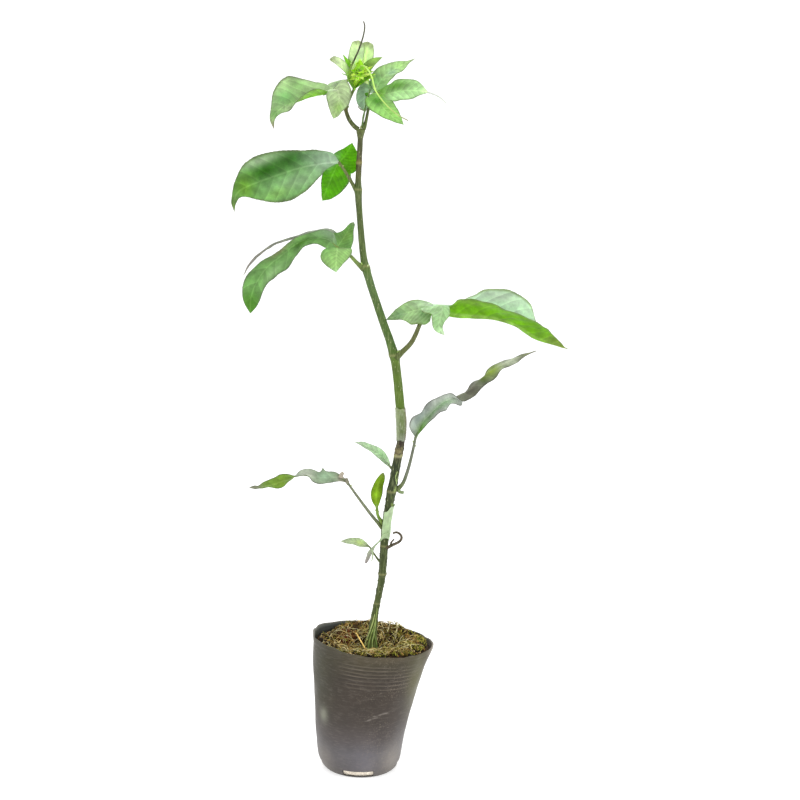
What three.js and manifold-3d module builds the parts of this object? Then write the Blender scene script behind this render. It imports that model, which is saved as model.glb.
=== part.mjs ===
// A young grafted passion fruit vine in a soft nursery pot. Millimetres, +Z up, the pot stands on z = 0.
import * as THREE from "three";
import { mergeVertices } from "three/addons/utils/BufferGeometryUtils.js";
import Module from "manifold-3d";

const solids = await Module();
solids.setup();

// ---- sizes --------------------------------------------------------------------------------------
const clear = 0.3; // gap between a stalk and the stem it grows from
const segments = 48; // facets round the pot
const wall = 1.2; // pot wall
const rimHeight = 107;
const rimSlope = 0.072; // the soft rim has slumped, its right side is lower
const oval = 0.09; // and it is squeezed a little from front to back
const flat = 3.2; // and flattened at the back right
const slot = { count: 4, wide: 24, low: 1.7, high: 5.6 };
const ground = 97; // height of the flat cut at the foot of the trunk
const pad = { x: 5.7, y: 0, radius: 7.5 };

// pot profile: height, radius, sideways drift of the middle
const potRows = [
  [0, 29.9, -1.1], [1.4, 31.3, -1.1], [4, 32.9, -1.3], [9, 34.4, -1.6], [16, 35.6, -1.7], [30, 37.3, -1.4],
  [60, 41.6, 0.6], [90, 46.3, 3.9], [102, 48.4, 5.5], [107, 48.9, 5.7],
];

// stem: height, sideways place, radius
const trunkRows = [
  [97, 5.7, 4.4], [101, 5.8, 3.9], [109, 6, 3.6], [120, 6.6, 3.3], [130, 7.7, 2.8], [140, 9.3, 2.55], [150, 11, 2.75],
  [160, 12.3, 3.0], [174, 12.9, 3.25], [191, 13.3, 3.5], [207, 14.4, 3.6], [221, 16.2, 3.7], [232, 17.8, 3.95], [242, 19.3, 3.7],
  [257, 21.4, 3.5], [261, 22, 3.9], [267, 23, 3.9], [270, 23.4, 3.2], [276, 23.9, 3.3], [290, 23.4, 3.6], [306, 21.5, 3.6],
  [322, 19.4, 3.5], [334, 17.6, 3.5], [341, 16.3, 3.75], [354, 11.8, 3.25], [365, 7.4, 3.15], [377, 2.9, 3.1], [393, -3, 3.0],
  [407, -7.8, 3.2], [411, -9, 3.15], [418, -10.5, 2.75], [432, -12.5, 2.55], [451, -14.6, 2.4], [465, -16, 2.6], [471, -16.4, 2.55],
  [478, -16.5, 2.25], [493, -16.2, 2.15], [508, -15.9, 2.0],
];
const crotch = { from: 508, to: 516.5, radius: 2.3, spread: 1.5 }; // the stem widens sideways where it forks

// small vectors
const plus = (a, b) => [a[0] + b[0], a[1] + b[1], a[2] + b[2]];
const minus = (a, b) => [a[0] - b[0], a[1] - b[1], a[2] - b[2]];
const times = (a, k) => [a[0] * k, a[1] * k, a[2] * k];
const dot = (a, b) => a[0] * b[0] + a[1] * b[1] + a[2] * b[2];
const cross = (a, b) => [a[1] * b[2] - a[2] * b[1], a[2] * b[0] - a[0] * b[2], a[0] * b[1] - a[1] * b[0]];
const size = (a) => Math.hypot(...a);
const unit = (a) => times(a, 1 / Math.max(size(a), 1e-9));
const clamp = (x, lo, hi) => Math.min(Math.max(x, lo), hi);
const ease = (x, lo, hi) => {
  const t = clamp((x - lo) / (hi - lo), 0, 1);
  return t * t * (3 - 2 * t);
};
const along = (rows, h, k) => {
  let i = 0;
  while (i < rows.length - 2 && h > rows[i + 1][0]) i++;
  const t = clamp((h - rows[i][0]) / (rows[i + 1][0] - rows[i][0]), 0, 1);
  return rows[i][k] + (rows[i + 1][k] - rows[i][k]) * t;
};

// ---- solids from points -------------------------------------------------------------------------
function solid(points, faces) {
  const vertProperties = new Float32Array(points.flat());
  const triVerts = new Uint32Array(faces.flat());
  return new solids.Manifold(new solids.Mesh({ numProp: 3, vertProperties, triVerts }));
}

// a three.js box, turned about x, then y, then z, and moved
function boxSolid(sizes, at, turns) {
  const [x, y, z] = turns.map((d) => (d * Math.PI) / 180);
  const box = new THREE.BoxGeometry(...sizes);
  box.applyMatrix4(new THREE.Matrix4().makeRotationFromEuler(new THREE.Euler(x, y, z, "ZYX")).setPosition(...at));
  box.deleteAttribute("normal");
  box.deleteAttribute("uv");
  const merged = mergeVertices(box);
  const numbers = Array.from(merged.attributes.position.array), corners = Array.from(merged.index.array);
  const threes = (list) => Array.from({ length: list.length / 3 }, (_, k) => list.slice(3 * k, 3 * k + 3));
  return solid(threes(numbers), threes(corners));
}

// rings of equal count joined one to the next, closed by a fan at each end
function ringsSolid(rings, first, last) {
  const n = rings[0].length;
  const points = [...rings.flat(), first, last];
  const faces = [];
  for (let k = 0; k + 1 < rings.length; k++)
    for (let j = 0; j < n; j++) {
      const a = k * n + j, b = k * n + ((j + 1) % n);
      faces.push([a, b, b + n], [a, b + n, a + n]);
    }
  const end = rings.length * n;
  for (let j = 0; j < n; j++) {
    faces.push([end, (j + 1) % n, j]);
    faces.push([end + 1, end - n + j, end - n + ((j + 1) % n)]);
  }
  return solid(points, faces);
}

// a stalk: rings square to its path, carried along without twist
function stalk(path, radii, sides = 7) {
  const tangents = path.map((p, k) => unit(minus(path[Math.min(k + 1, path.length - 1)], path[Math.max(k - 1, 0)])));
  let side = unit(cross(tangents[0], Math.abs(tangents[0][1]) < 0.9 ? [0, 1, 0] : [1, 0, 0]));
  const rings = path.map((p, k) => {
    side = unit(minus(side, times(tangents[k], dot(side, tangents[k]))));
    const other = cross(tangents[k], side);
    const r = radii[0] + ((radii[1] - radii[0]) * k) / (path.length - 1);
    return Array.from({ length: sides }, (_, j) => {
      const a = (j * 2 * Math.PI) / sides;
      return plus(p, plus(times(side, r * Math.cos(a)), times(other, r * Math.sin(a))));
    });
  });
  return ringsSolid(rings, path[0], path[path.length - 1]);
}

const bend = (from, to, bow, n) =>
  Array.from({ length: n + 1 }, (_, k) => {
    const t = k / n;
    return plus(plus(from, times(minus(to, from), t)), times(bow, 4 * t * (1 - t)));
  });

// a smooth line through a few places
const through = (places, n) => new THREE.CatmullRomCurve3(places.map((p) => new THREE.Vector3(...p)), false, "centripetal").getPoints(n).map((p) => p.toArray());

const joined = (pieces) => pieces.reduce((a, b) => a.add(b));

// the main body, without crumbs left by a cut
const volume = (body) => body.getProperties?.().volume ?? body.volume();
const whole = (body) => body.decompose().reduce((a, b) => (volume(b) > volume(a) ? b : a));

// ---- leaves -------------------------------------------------------------------------------------
// smooth curves through rows: between two of them the cubic that keeps each row's slope, the mean slope of its neighbours
function slopeAt(rows, i, k) {
  const pace = (a, b) => (rows[b][k] - rows[a][k]) / (rows[b][0] - rows[a][0]);
  if (i === 0) return pace(0, 1);
  if (i === rows.length - 1) return pace(i - 1, i);
  const before = rows[i][0] - rows[i - 1][0], after = rows[i + 1][0] - rows[i][0];
  return (pace(i - 1, i) * after + pace(i, i + 1) * before) / (before + after);
}
function smoothRow(rows, t, k) {
  let i = 0;
  while (i < rows.length - 2 && t > rows[i + 1][0]) i++;
  const h = rows[i + 1][0] - rows[i][0], u = clamp((t - rows[i][0]) / h, 0, 1);
  return (1 + 2 * u) * (1 - u) ** 2 * rows[i][k] + u * (1 - u) ** 2 * h * slopeAt(rows, i, k) + u ** 2 * (3 - 2 * u) * rows[i + 1][k] - u ** 2 * (1 - u) * h * slopeAt(rows, i + 1, k);
}

// a lobe made ready: its midrib as a smooth line evened out by length
function readyLobe(lobe, root) {
  const curve = new THREE.CatmullRomCurve3(lobe.line.map((p) => new THREE.Vector3(...plus(p, root))), false, "catmullrom", 0.5);
  curve.arcLengthDivisions = 400;
  return { wave: 0, waves: 3, phase: 0, ...lobe, curve, length: curve.getLength() };
}
const midrib = (lobe, t) => lobe.curve.getPointAt(clamp(t, 0, 1)).toArray();
const halfWidth = (lobe, t, sign) => Math.max(smoothRow(lobe.rows, t, sign > 0 ? 2 : 1), 0);

// the place a mm along the midrib and w mm across: out to the side by w cos(fold), up by w sin(fold) and the wave,
// all turned about the midrib by the roll; a half bends back a little towards its margin
function onLobe(lobe, a, w) {
  const t = a / lobe.length, sign = w > 0 ? 1 : -1;
  const tangent = unit(minus(midrib(lobe, t + 0.012), midrib(lobe, t - 0.012)));
  const face = [1, 2, 3].map((k) => along(lobe.faces, t, k));
  let normal = unit(minus(face, times(tangent, dot(face, tangent))));
  let side = cross(tangent, normal);
  const roll = (smoothRow(lobe.rows, t, 5) * Math.PI) / 180;
  [normal, side] = [plus(times(normal, Math.cos(roll)), times(side, Math.sin(roll))), minus(times(side, Math.cos(roll)), times(normal, Math.sin(roll)))];
  const share = Math.abs(w) / Math.max(halfWidth(lobe, t, sign), 1.5);
  const fold = smoothRow(lobe.rows, t, sign > 0 ? 4 : 3) * (1.12 - 0.24 * Math.min(share, 1.3)) * (Math.PI / 180);
  const rise = Math.abs(w) * Math.sin(fold) + lobe.wave * Math.min(share, 1.2) ** 2 * Math.sin(2 * Math.PI * lobe.waves * t + (1 + Math.sign(w)) * lobe.phase);
  return plus(midrib(lobe, t), plus(times(side, w * Math.cos(fold)), times(normal, rise)));
}

// the middle surface of a leaf; lobe 0 is the middle lobe and shares a web with lobes 1 and 2
function leafSurface(leaf, root, rows = 12, webRows = 3, cols = 2) {
  const lobes = leaf.lobes.map((l) => readyLobe(l, root));
  const points = [], faces = [];
  const webbed = leaf.web > 0 && lobes.length > 1;
  const spread = ((leaf.spread ?? 60) * Math.PI) / 180;
  const sinus = webbed ? leaf.web * Math.cos(spread / 2) : 0, edge = webbed ? leaf.web * Math.sin(spread / 2) : 0;
  const place = (p) => {
    const seen = points.findIndex((q) => size(minus(p, q)) < 1e-3);
    return seen >= 0 ? seen : points.push(p) - 1;
  };
  lobes.forEach((lobe, i) => {
    const length = lobe.length;
    const steps = [];
    for (let k = 0; k <= rows; k++) steps.push(!webbed ? (length * k) / rows : k <= webRows ? (sinus * k) / webRows : sinus + ((length - sinus) * (k - webRows)) / (rows - webRows));
    for (const sign of [-1, 1]) {
      let mate = null;
      if (webbed && i === 0) mate = sign > 0 ? 1 : 2;
      if (webbed && ((i === 1 && sign < 0) || (i === 2 && sign > 0))) mate = 0;
      const gap = edge - halfWidth(lobe, sinus / length, sign);
      const grid = steps.map((a) => {
        let half = halfWidth(lobe, a / length, sign);
        if (mate !== null) half = a <= sinus + 1e-9 ? a * Math.tan(spread / 2) : Math.max(half + (gap * Math.exp(-(a - sinus) / (0.12 * length)) * (length - a)) / (length - sinus), 0);
        return Array.from({ length: cols + 1 }, (_, c) => {
          const w = (half * c) / cols;
          let p = onLobe(lobe, a, w * sign);
          if (mate !== null) {
            const rho = Math.hypot(a, w), theta = Math.atan2(w, Math.max(a, 1e-9));
            const share = 0.5 * clamp(theta / (spread / 2), 0, 1) ** 2 * (1 - ease(rho, leaf.web, 2 * leaf.web));
            const other = onLobe(lobes[mate], Math.max(rho * Math.cos(spread - theta), 0), -sign * rho * Math.sin(spread - theta));
            p = plus(p, times(minus(other, p), share));
          }
          return place(p);
        });
      });
      for (let r = 0; r < rows; r++)
        for (let c = 0; c < cols; c++) {
          const q = [grid[r][c], grid[r + 1][c], grid[r + 1][c + 1], grid[r][c + 1]];
          if (sign > 0) q.reverse();
          for (const f of [[q[0], q[1], q[2]], [q[0], q[2], q[3]]]) if (f[0] !== f[1] && f[1] !== f[2] && f[0] !== f[2]) faces.push(f);
        }
    }
  });
  return { points, faces };
}

// a closed blade: the middle surface moved half a thickness each way, its margins walled
function bladeSolid(leaf, root, thick, ...counts) {
  const { points, faces } = leafSurface(leaf, root, ...counts);
  const normals = points.map(() => [0, 0, 0]);
  const edges = new Map();
  for (const f of faces) {
    const n = cross(minus(points[f[1]], points[f[0]]), minus(points[f[2]], points[f[0]]));
    f.forEach((v, k) => {
      normals[v] = plus(normals[v], n);
      edges.set(`${v},${f[(k + 1) % 3]}`, [v, f[(k + 1) % 3]]);
    });
  }
  const n = points.length;
  const moved = (k) => points.map((p, i) => plus(p, times(unit(normals[i]), k * thick)));
  const all = [...faces, ...faces.map((f) => [f[0] + n, f[2] + n, f[1] + n])];
  for (const [a, b] of edges.values()) if (!edges.has(`${b},${a}`)) all.push([b, a, a + n], [b, a + n, b + n]);
  return solid([...moved(0.5), ...moved(-0.5)], all);
}

// a leaf on its stalk: the stalk runs on under the blade as the start of the midrib
function leafOnStalk(leaf) {
  const { root, at, stalkRadii, thick = 1.2 } = leaf;
  const lobe = readyLobe(leaf.lobes[0], at);
  const run = 10 / lobe.length;
  const path = [...through([root, ...(leaf.through ?? []), at], 8), midrib(lobe, run * 0.5), midrib(lobe, run)];
  const pieces = [stalk(path, [stalkRadii[0], stalkRadii[1] * 0.75]), bladeSolid(leaf, at, thick)];
  for (const extra of leaf.extraLobes ?? []) pieces.push(bladeSolid({ lobes: [extra] }, at, thick, 9, 0, 1));
  for (const t of leaf.threads ?? []) pieces.push(stalk(through(t.places, t.steps ?? 4), t.radii, 5));
  return joined(pieces);
}

// ---- pot and filling ------------------------------------------------------------------------------
function potPoint(h, angle, outward) {
  const r = along(potRows, h, 1) + outward, drift = along(potRows, h, 2);
  const slump = h < 30 ? 0 : rimSlope * ((h - 30) / (rimHeight - 30));
  const away = ((angle + Math.PI) % (2 * Math.PI)) - Math.PI - 0.8;
  const wide = r - flat * Math.exp(-((away / 0.42) ** 2)) * ease(h, 50, rimHeight);
  return [drift + wide * Math.cos(angle), wide * Math.sin(angle) * (1 - oval * ease(h, 50, rimHeight)), h - slump * wide * Math.cos(angle)];
}
const potRing = (h, outward) => Array.from({ length: segments }, (_, j) => potPoint(h, (j * 2 * Math.PI) / segments, outward));

function makePot() {
  const bead = 0.4; // the rolled lip of the rim
  const rings = [];
  for (const [h] of potRows) if (h < rimHeight) rings.push(potRing(h, 0));
  rings.push(potRing(103, bead), potRing(rimHeight, bead), potRing(rimHeight, -wall));
  for (const [h] of [...potRows].reverse()) if (h < rimHeight && h > wall) rings.push(potRing(h, -wall));
  let pot = ringsSolid(rings, [0, 0, 0], [0, 0, 1.4]);
  for (let k = 0; k < slot.count; k++) {
    const turn = -90 + (k * 360) / slot.count, out = (turn * Math.PI) / 180;
    pot = pot.subtract(boxSolid([14, slot.wide, slot.high - slot.low], [34 * Math.cos(out), 34 * Math.sin(out), (slot.high + slot.low) / 2], [0, 0, turn]));
  }
  return pot;
}

// the heap is low round the foot of the stem and rises on every side, most at the back, with soft lumps; at the wall it
// stays below the rim
function heap(x, y) {
  const sides = [7.5 * ease(-y, 5, 36), 13 * ease(y, -2, 28) * (1 - 0.5 * ease(-x, 12, 34)), 6 * ease(x, 12, 42), 5.5 * ease(-x, 5, 36)];
  const lumps = 1.1 * Math.sin(x / 6 + 1) * Math.cos(y / 7) + 0.7 * Math.sin(y / 4.5 + x / 9);
  const inside = 48 - Math.hypot(x - 5.7, y / (1 - oval));
  const brim = rimHeight - 1.8 - rimSlope * (x - 5.7) + 0.55 * Math.max(inside, 0);
  const top = Math.min(98.5 + sides.reduce((sum, v) => sum + v ** 4, 0) ** 0.25 + lumps, brim);
  const near = ease(Math.hypot(x - pad.x, y - pad.y), pad.radius, pad.radius + 6);
  return ground - clear + (top - ground + clear) * near;
}

function makeFilling() {
  const inset = -wall - clear;
  const rings = [];
  for (const [h] of potRows) if (h > 1.5 && h < 95) rings.push(potRing(h === 1.4 ? 1.7 : h, inset));
  rings.unshift(potRing(1.7, inset));
  const brim = Array.from({ length: segments }, (_, j) => {
    const angle = (j * 2 * Math.PI) / segments;
    let h = 98;
    for (let k = 0; k < 6; k++) {
      const p = potPoint(h, angle, inset);
      h += heap(p[0], p[1]) - p[2];
    }
    return potPoint(h, angle, inset);
  });
  rings.push(brim);
  for (const share of [0.88, 0.76, 0.63, 0.5, 0.38, 0.28, 0.2, pad.radius / 49])
    rings.push(brim.map((p) => {
      const x = pad.x + (p[0] - pad.x) * share, y = pad.y + (p[1] - pad.y) * share;
      return [x, y, heap(x, y)];
    }));
  return ringsSolid(rings, [0, 0, 1.7], [pad.x, pad.y, ground - clear]);
}

// ---- trunk, boughs and bindings -------------------------------------------------------------------
const swells = [[163, 0.25, 2], [232, 0.3, 4], [341, 0.35, 3.5], [410, 0.4, 3], [470, 0.45, 3], [491, 0.2, 2.5]];
const depth = (h) => 1.5 * Math.sin(h / 47);

function trunkRing(h, grow, sides = 12) {
  const slope = (along(trunkRows, h + 4, 1) - along(trunkRows, h - 4, 1)) / 8;
  let r = along(trunkRows, h, 2);
  for (const [at, rise, reach] of swells) r += rise * Math.exp(-(((h - at) / reach) ** 2));
  const toes = 0.9 * Math.exp(-(h - ground) / 4); // root flare
  const fork = ease(h, crotch.from, crotch.to);
  r += (crotch.radius - r) * fork;
  const x = along(trunkRows, h, 1);
  return Array.from({ length: sides }, (_, j) => {
    const a = (j * 2 * Math.PI) / sides;
    const here = r + toes * (0.6 + Math.cos(3 * a + 0.7)) + grow;
    return [x + here * Math.cos(a) * Math.hypot(1, slope) * (1 + (crotch.spread - 1) * fork), depth(h) - depth(h) * fork + here * Math.sin(a), h];
  });
}

const trunkHeights = [97, 98.5, 101, 105, 110, 116, 122, 130, 136, 142, 149, 155, 160, 163, 166, 174, 183, 191, 199, 207, 214, 221, 227, 232, 237, 244, 251, 257, 261, 264, 267, 269.5, 273, 278, 285, 292, 299, 306,
  314, 322, 330, 336, 341, 346, 351, 358, 365, 372, 380, 388, 396, 402, 407, 410, 413, 418, 425, 433, 442, 451, 459, 465, 470, 475, 481, 487, 491, 495, 502, 508, 512, 516.5];

function trunkPart(low, high, grow, sides) {
  const hs = [low, ...trunkHeights.filter((h) => h > low + 0.6 && h < high - 0.6), high];
  const rings = hs.map((h) => trunkRing(h, grow, sides));
  const middle = (ring) => times(ring.reduce(plus), 1 / ring.length);
  return ringsSolid(rings, middle(rings[0]), middle(rings[rings.length - 1]));
}

const trunk = trunkPart(ground, crotch.to, 0);
const trunkRoom = trunkPart(ground - 4, crotch.to + clear, clear);

const boughPath = [...bend([-17.6, 0, 517.4], [-27.8, -3, 531.8], [-1.5, 0, -1.5], 7), ...bend([-27.8, -3, 531.8], [-21.5, 0, 546.5], [-0.6, 0, -0.4], 6).slice(1)];
const boughBody = (grow) => joined([
  stalk(boughPath.slice(0, 9), [1.75 + grow, 1.5 + grow], 9),
  stalk(boughPath.slice(6), [1.35 + grow, 1.0 + grow], 9),
]);
const bough = boughBody(0).subtract(trunkRoom);
const boughRoom = boughBody(clear).add(stalk(bend([-21.6, 0, 546], [-21.4, 0, 546.5 + clear], [0, 0, 0], 1), [1.3, 1.3], 9));

// film bound round the graft, and a torn film lower down with a hanging strip
const bindingUpper = trunkPart(273.5, 299.5, clear + 0.75, 14).subtract(trunkRoom);

function makeBindingLower() {
  const film = trunkPart(191.5, 222, clear + 0.75, 12).subtract(trunkRoom);
  const open = [
    boxSolid([20, 60, 60], [4.1, 8, 206], [0, 0, -8]), // left open where the stalks come out
    boxSolid([60, 60, 20], [15, 0, 226.5], [0, -38, 0]), // slanting top
    boxSolid([60, 60, 20], [15, 0, 183.1], [4, 11, 0]), // slanting foot
  ];
  const wrap = open.reduce((a, b) => a.subtract(b), film);
  const places = [[14.6, -5.66, 198], [11.1, -5.8, 193.0], [7.6, -6.3, 189.4], [4.2, -6.6, 185.6], [2, -6.8, 181.5], [0.4, -6.7, 177], [-1, -6.6, 172.6]];
  const wide = [2.5, 2.3, 2.1, 2, 2.2, 1.8, 1.1];
  const rings = through(places, 12).map((p, k) => {
    const w = along(wide.map((v, i) => [i * 2, v]), k, 1);
    return [[w, -0.39, 0.3 * w], [-w, -0.39, -0.3 * w], [-w, 0.39, -0.3 * w], [w, 0.39, 0.3 * w]].map((c) => plus(p, c));
  });
  const strip = ringsSolid(rings, times(rings[0].reduce(plus), 0.25), times(rings[12].reduce(plus), 0.25));
  const tail = stalk(through([[3.5, -6.7, 184.6], [4.3, -7.5, 179], [3.6, -7.4, 174.5]], 4), [0.85, 0.4], 5);
  return whole(whole(wrap).add(strip.add(tail).subtract(trunkPart(150, 230, clear + 0.35, 12))));
}

// ---- the leaves, from the highest down -------------------------------------------------------------
const leaves = {
  leaf_left_top: {
    root: [-27.4, -3, 532.6], at: [-36.2, -10, 546], through: [[-29.6, -5, 538], [-33, -8, 543]], stalkRadii: [1.2, 0.9], web: 10, spread: 65,
    lobes: [
      {
        line: [[0, 0, 0], [-6.6, -2, -4], [-17.7, -6, -7.2], [-27, -10, -11.4], [-35.6, -14, -15], [-41.8, -17, -20], [-45, -18, -25.9], [-43.9, -18, -32.8]],
        rows: [[0, 0, 0, 50, 55, 0], [0.13, 9, 10, 50, 56, 0], [0.32, 10.4, 18, 38, 58, 0], [0.49, 9.6, 21.5, 32, 63, 0], [0.58, 8, 21, 16, 60, 0], [0.68, 6, 16.5, -6, 45, 0], [0.79, 3.6, 6.6, 0, 20, 0], [0.89, 2, 2.2, 10, 10, 0], [1, 0, 0, 0, 0, 0]],
        faces: [[0, 0, 0, 1], [0.5, 0, -0.2, 1], [0.75, -0.5, -0.9, 0.5], [1, -0.3, -1, 0.2]],
      },
      {
        line: [[0, 0, 0], [4, 10, 4.7], [8.5, 18, 8.5]],
        rows: [[0, 0, 0, 20, 20, 0], [0.4, 5.5, 6.5, 20, 20, 0], [0.7, 4, 5, 15, 15, 0], [1, 0, 0, 0, 0, 0]],
        faces: [[0, -0.2, -0.6, 0.8], [1, -0.4, -0.9, 0.3]],
      },
      {
        line: [[0, 0, 0], [3.2, -8, -2.7], [4.2, -12, -9], [2.4, -14, -16.5], [0.5, -14, -23.4]],
        rows: [[0, 0, 0, 0, 0, 0], [0.12, 7, 7, -8, -8, 0], [0.3, 9.6, 9, -16, -16, 0], [0.53, 9.4, 10, -20, -20, 0], [0.68, 7.8, 8.2, -18, -18, 0], [0.8, 5.2, 5.4, -12, -12, 0], [0.92, 2.6, 2.6, 0, 0, 0], [1, 0, 0, 0, 0, 0]],
        faces: [[0, 0, -0.3, 1], [0.4, 0, -1, 0.4], [1, 0, -1, 0.1]],
      },
    ],
  },
  leaf_right_top: {
    root: [-13.6, 0, 516.9], at: [-5.6, -2, 545], through: [[-11.9, 0, 523], [-10.4, -0.6, 531.4], [-8.3, -1.5, 539.6]], stalkRadii: [1.35, 0.95], web: 9, spread: 55,
    lobes: [
      {
        line: [[0, 0, 0], [8.6, -3, -1.6], [20, -7, 0.9], [31, -10, 1.3], [41, -12, 0.3]],
        rows: [[0, 0, 0, 8, 8, 0], [0.1, 4.5, 4.5, 8, 8, 0], [0.21, 7.2, 7, 8, 8, 0], [0.49, 9.8, 9.4, 12, 8, 0], [0.62, 9.6, 8.6, 12, 6, 0], [0.765, 8.2, 6.4, 8, 4, 0], [0.88, 4.6, 3.2, 4, 0, 0], [0.95, 1.8, 1.5, 0, 0, 0], [1, 0, 0, 0, 0, 0]],
        faces: [[0, 0, -0.85, 0.6], [1, 0.2, -0.9, 0.4]],
      },
      {
        line: [[0, 0, 0], [1.9, -6, -5.6], [6.8, -14, -12.7], [14, -21, -19.2], [23, -26, -25]],
        rows: [[0, 0, 0, 8, 8, 0], [0.1, 5, 6, 8, 8, 0], [0.19, 8, 9.5, 8, 8, 0], [0.455, 9.5, 10.4, 12, 8, 0], [0.6, 8.6, 7.4, 12, 6, 0], [0.73, 7, 4.2, 10, 4, 0], [0.88, 3.8, 2.4, 4, 0, 0], [1, 0, 0, 0, 0, 0]],
        faces: [[0, 0.1, -0.8, 0.6], [1, 0.3, -0.9, 0.4]],
      },
      {
        line: [[0, 0, 0], [4, 5, 8.8], [11, 10, 16.3], [20, 14, 22], [30, 16, 27.6]],
        rows: [[0, 0, 0, 8, 8, 0], [0.1, 5, 4.4, 8, 8, 0], [0.24, 8.6, 7.2, 14, 14, 0], [0.5, 7.8, 7, 16, 16, 0], [0.62, 6.4, 6, 16, 16, 0], [0.75, 4, 4, 10, 10, 0], [0.87, 1.4, 1.5, 0, 0, 0], [1, 0, 0, 0, 0, 0]],
        faces: [[0, -0.2, -0.8, 0.6], [1, -0.2, -0.9, 0.4]],
      },
    ],
    extraLobes: [
      {
        line: [[0, 0, 0], [-4.4, 7, 3], [-9.4, 11, 1.6], [-13.4, 14, -3.6]],
        rows: [[0, 3, 3, 8, 8, 0], [0.35, 7.4, 8, 8, 8, 0], [0.7, 6, 6.4, 8, 8, 0], [0.9, 3, 3.4, 4, 4, 0], [1, 0, 0, 0, 0, 0]],
        faces: [[0, 0, -0.9, 0.5], [1, 0, -0.9, 0.5]],
      },
    ],
    threads: [
      { places: [[34.6, -13.9, 545.4], [39.6, -14.9, 543.8], [44.6, -15.4, 541.4], [49.2, -15.8, 537.2]], radii: [0.75, 0.35] },
      { places: [[-14.6, -0.4, 518.5], [-14.2, -2.4, 524], [-13.2, -3.2, 529.4], [-12.2, -3.4, 533.6], [-9.6, -2.8, 538]], radii: [0.8, 0.6] },
      { places: [[-11.6, -2.3, 531.4], [-14.6, -4.2, 531], [-17, -4.6, 532.2], [-18, -4.4, 533.6]], radii: [0.6, 0.4] },
    ],
  },
  leaf_left_upper: {
    root: [-17.4, 0, 469.4], at: [-31.8, -4, 491], through: [[-21.3, -1.5, 475.4], [-27, -3, 484.4]], stalkRadii: [1.5, 1.1], web: 9, spread: 70,
    lobes: [
      {
        line: [[0, 0, 0], [-10.7, -1, -1.2], [-26, -2, -4.4], [-41.3, -3, -9.5], [-58.8, -5, -16.2], [-71.5, -7, -22], [-77.5, -8, -27], [-79.6, -8.5, -34], [-79.1, -9, -41]],
        rows: [[0, 0, 0, 8, 8, 0], [0.05, 7, 3.5, 8, 8, 0], [0.11, 11, 6.4, 10, 8, 0], [0.27, 13.4, 17, 10, 8, 0], [0.436, 17.2, 22.4, 8, 8, 0], [0.63, 18.6, 17.8, 6, 6, 0], [0.72, 15.6, 12.4, 6, 6, 0], [0.8, 8.6, 6.8, 4, 4, 0], [0.86, 3.5, 3.8, 4, 4, 0], [0.93, 1.7, 1.8, 0, 0, 0], [1, 0, 0, 0, 0, 0]],
        faces: [[0, 0, 1, 0.3], [0.7, 0.1, 1, 0.25], [1, 0.1, 1, 0.1]], wave: 0.9, waves: 3,
      },
      {
        line: [[0, 0, 0], [-4, 6, -7.7], [-8, 11, -17], [-13, 16, -30]],
        rows: [[0, 0, 0, 8, 8, 0], [0.1, 5, 7, 8, 8, 0], [0.29, 9.5, 12.6, 8, 8, 0], [0.45, 8, 13.2, 8, 8, 0], [0.6, 6.4, 12.4, 8, 8, 0], [0.8, 3.6, 8.4, 4, 4, 0], [0.93, 1.6, 4.2, 0, 0, 0], [1, 0, 0, 0, 0, 0]],
        faces: [[0, 0, 1, 0.3], [1, 0.1, 1, 0.1]],
      },
      {
        line: [[0, 0, 0], [3.6, 4, 4], [6.4, 8, 8.8], [9.4, 11, 15.4]],
        rows: [[0, 0, 0, 8, 8, 0], [0.12, 8, 5, 8, 8, 0], [0.32, 11.4, 6, 8, 8, 0], [0.64, 8.6, 3.6, 6, 6, 0], [0.85, 4.4, 1.8, 2, 2, 0], [1, 0, 0, 0, 0, 0]],
        faces: [[0, 0, 1, 0.3], [1, 0.1, 1, 0.1]],
      },
    ],
    threads: [
      { places: [[-19, 0.6, 471.5], [-20.6, 1.6, 475.4], [-22.8, 2.4, 480]], radii: [0.7, 0.4] },
    ],
  },
  leaf_left_middle: {
    root: [-10, 0, 409], at: [-31.2, -6, 425.4], through: [[-15.5, -2, 413.7], [-21.1, -4, 419.4], [-26, -5, 422.8]], stalkRadii: [1.8, 1.2], web: 12, spread: 65,
    lobes: [
      {
        line: [[0, 0, 0], [-8, 0, 6], [-20, -1, 6.2], [-31, -2, 2], [-41.6, -4, -6.7], [-53.5, -6, -17], [-62, -8, -30.5], [-65.4, -9.5, -42], [-65.6, -10, -53]],
        rows: [[0, 5, 4, 30, 30, 0], [0.1, 10, 8.4, 44, 40, 0], [0.216, 8.6, 8.4, 52, 52, 0], [0.33, 9.5, 9, 52, 48, 0], [0.464, 10.4, 8.6, 32, 30, 0], [0.62, 10.6, 9, 14, 14, 0], [0.78, 9.8, 9.8, 10, 10, 0], [0.895, 8, 7, 10, 10, 0], [0.95, 5, 3.8, 6, 6, 0], [1, 0, 0, 0, 0, 0]],
        faces: [[0, 0, -0.6, 0.8], [0.3, -0.2, -0.8, 0.6], [0.6, -0.5, -0.9, 0.4], [1, -0.3, -1, 0.2]], wave: 0.6, waves: 3,
      },
      {
        line: [[0, 0, 0], [3.6, 4, 5.4], [7.1, 9, 11.6], [11.6, 14, 19.8]],
        rows: [[0, 3, 9, 8, 4, 0], [0.12, 4.6, 10.4, 8, 4, 0], [0.29, 4.4, 9.6, 14, 10, 0], [0.61, 3, 6, 18, 18, 0], [0.85, 2.2, 3.4, 18, 18, 0], [0.95, 1.4, 2, 8, 8, 0], [1, 0, 0, 0, 0, 0]],
        faces: [[0, -0.1, -0.8, 0.6], [1, -0.3, -0.9, 0.3]],
      },
      {
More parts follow.
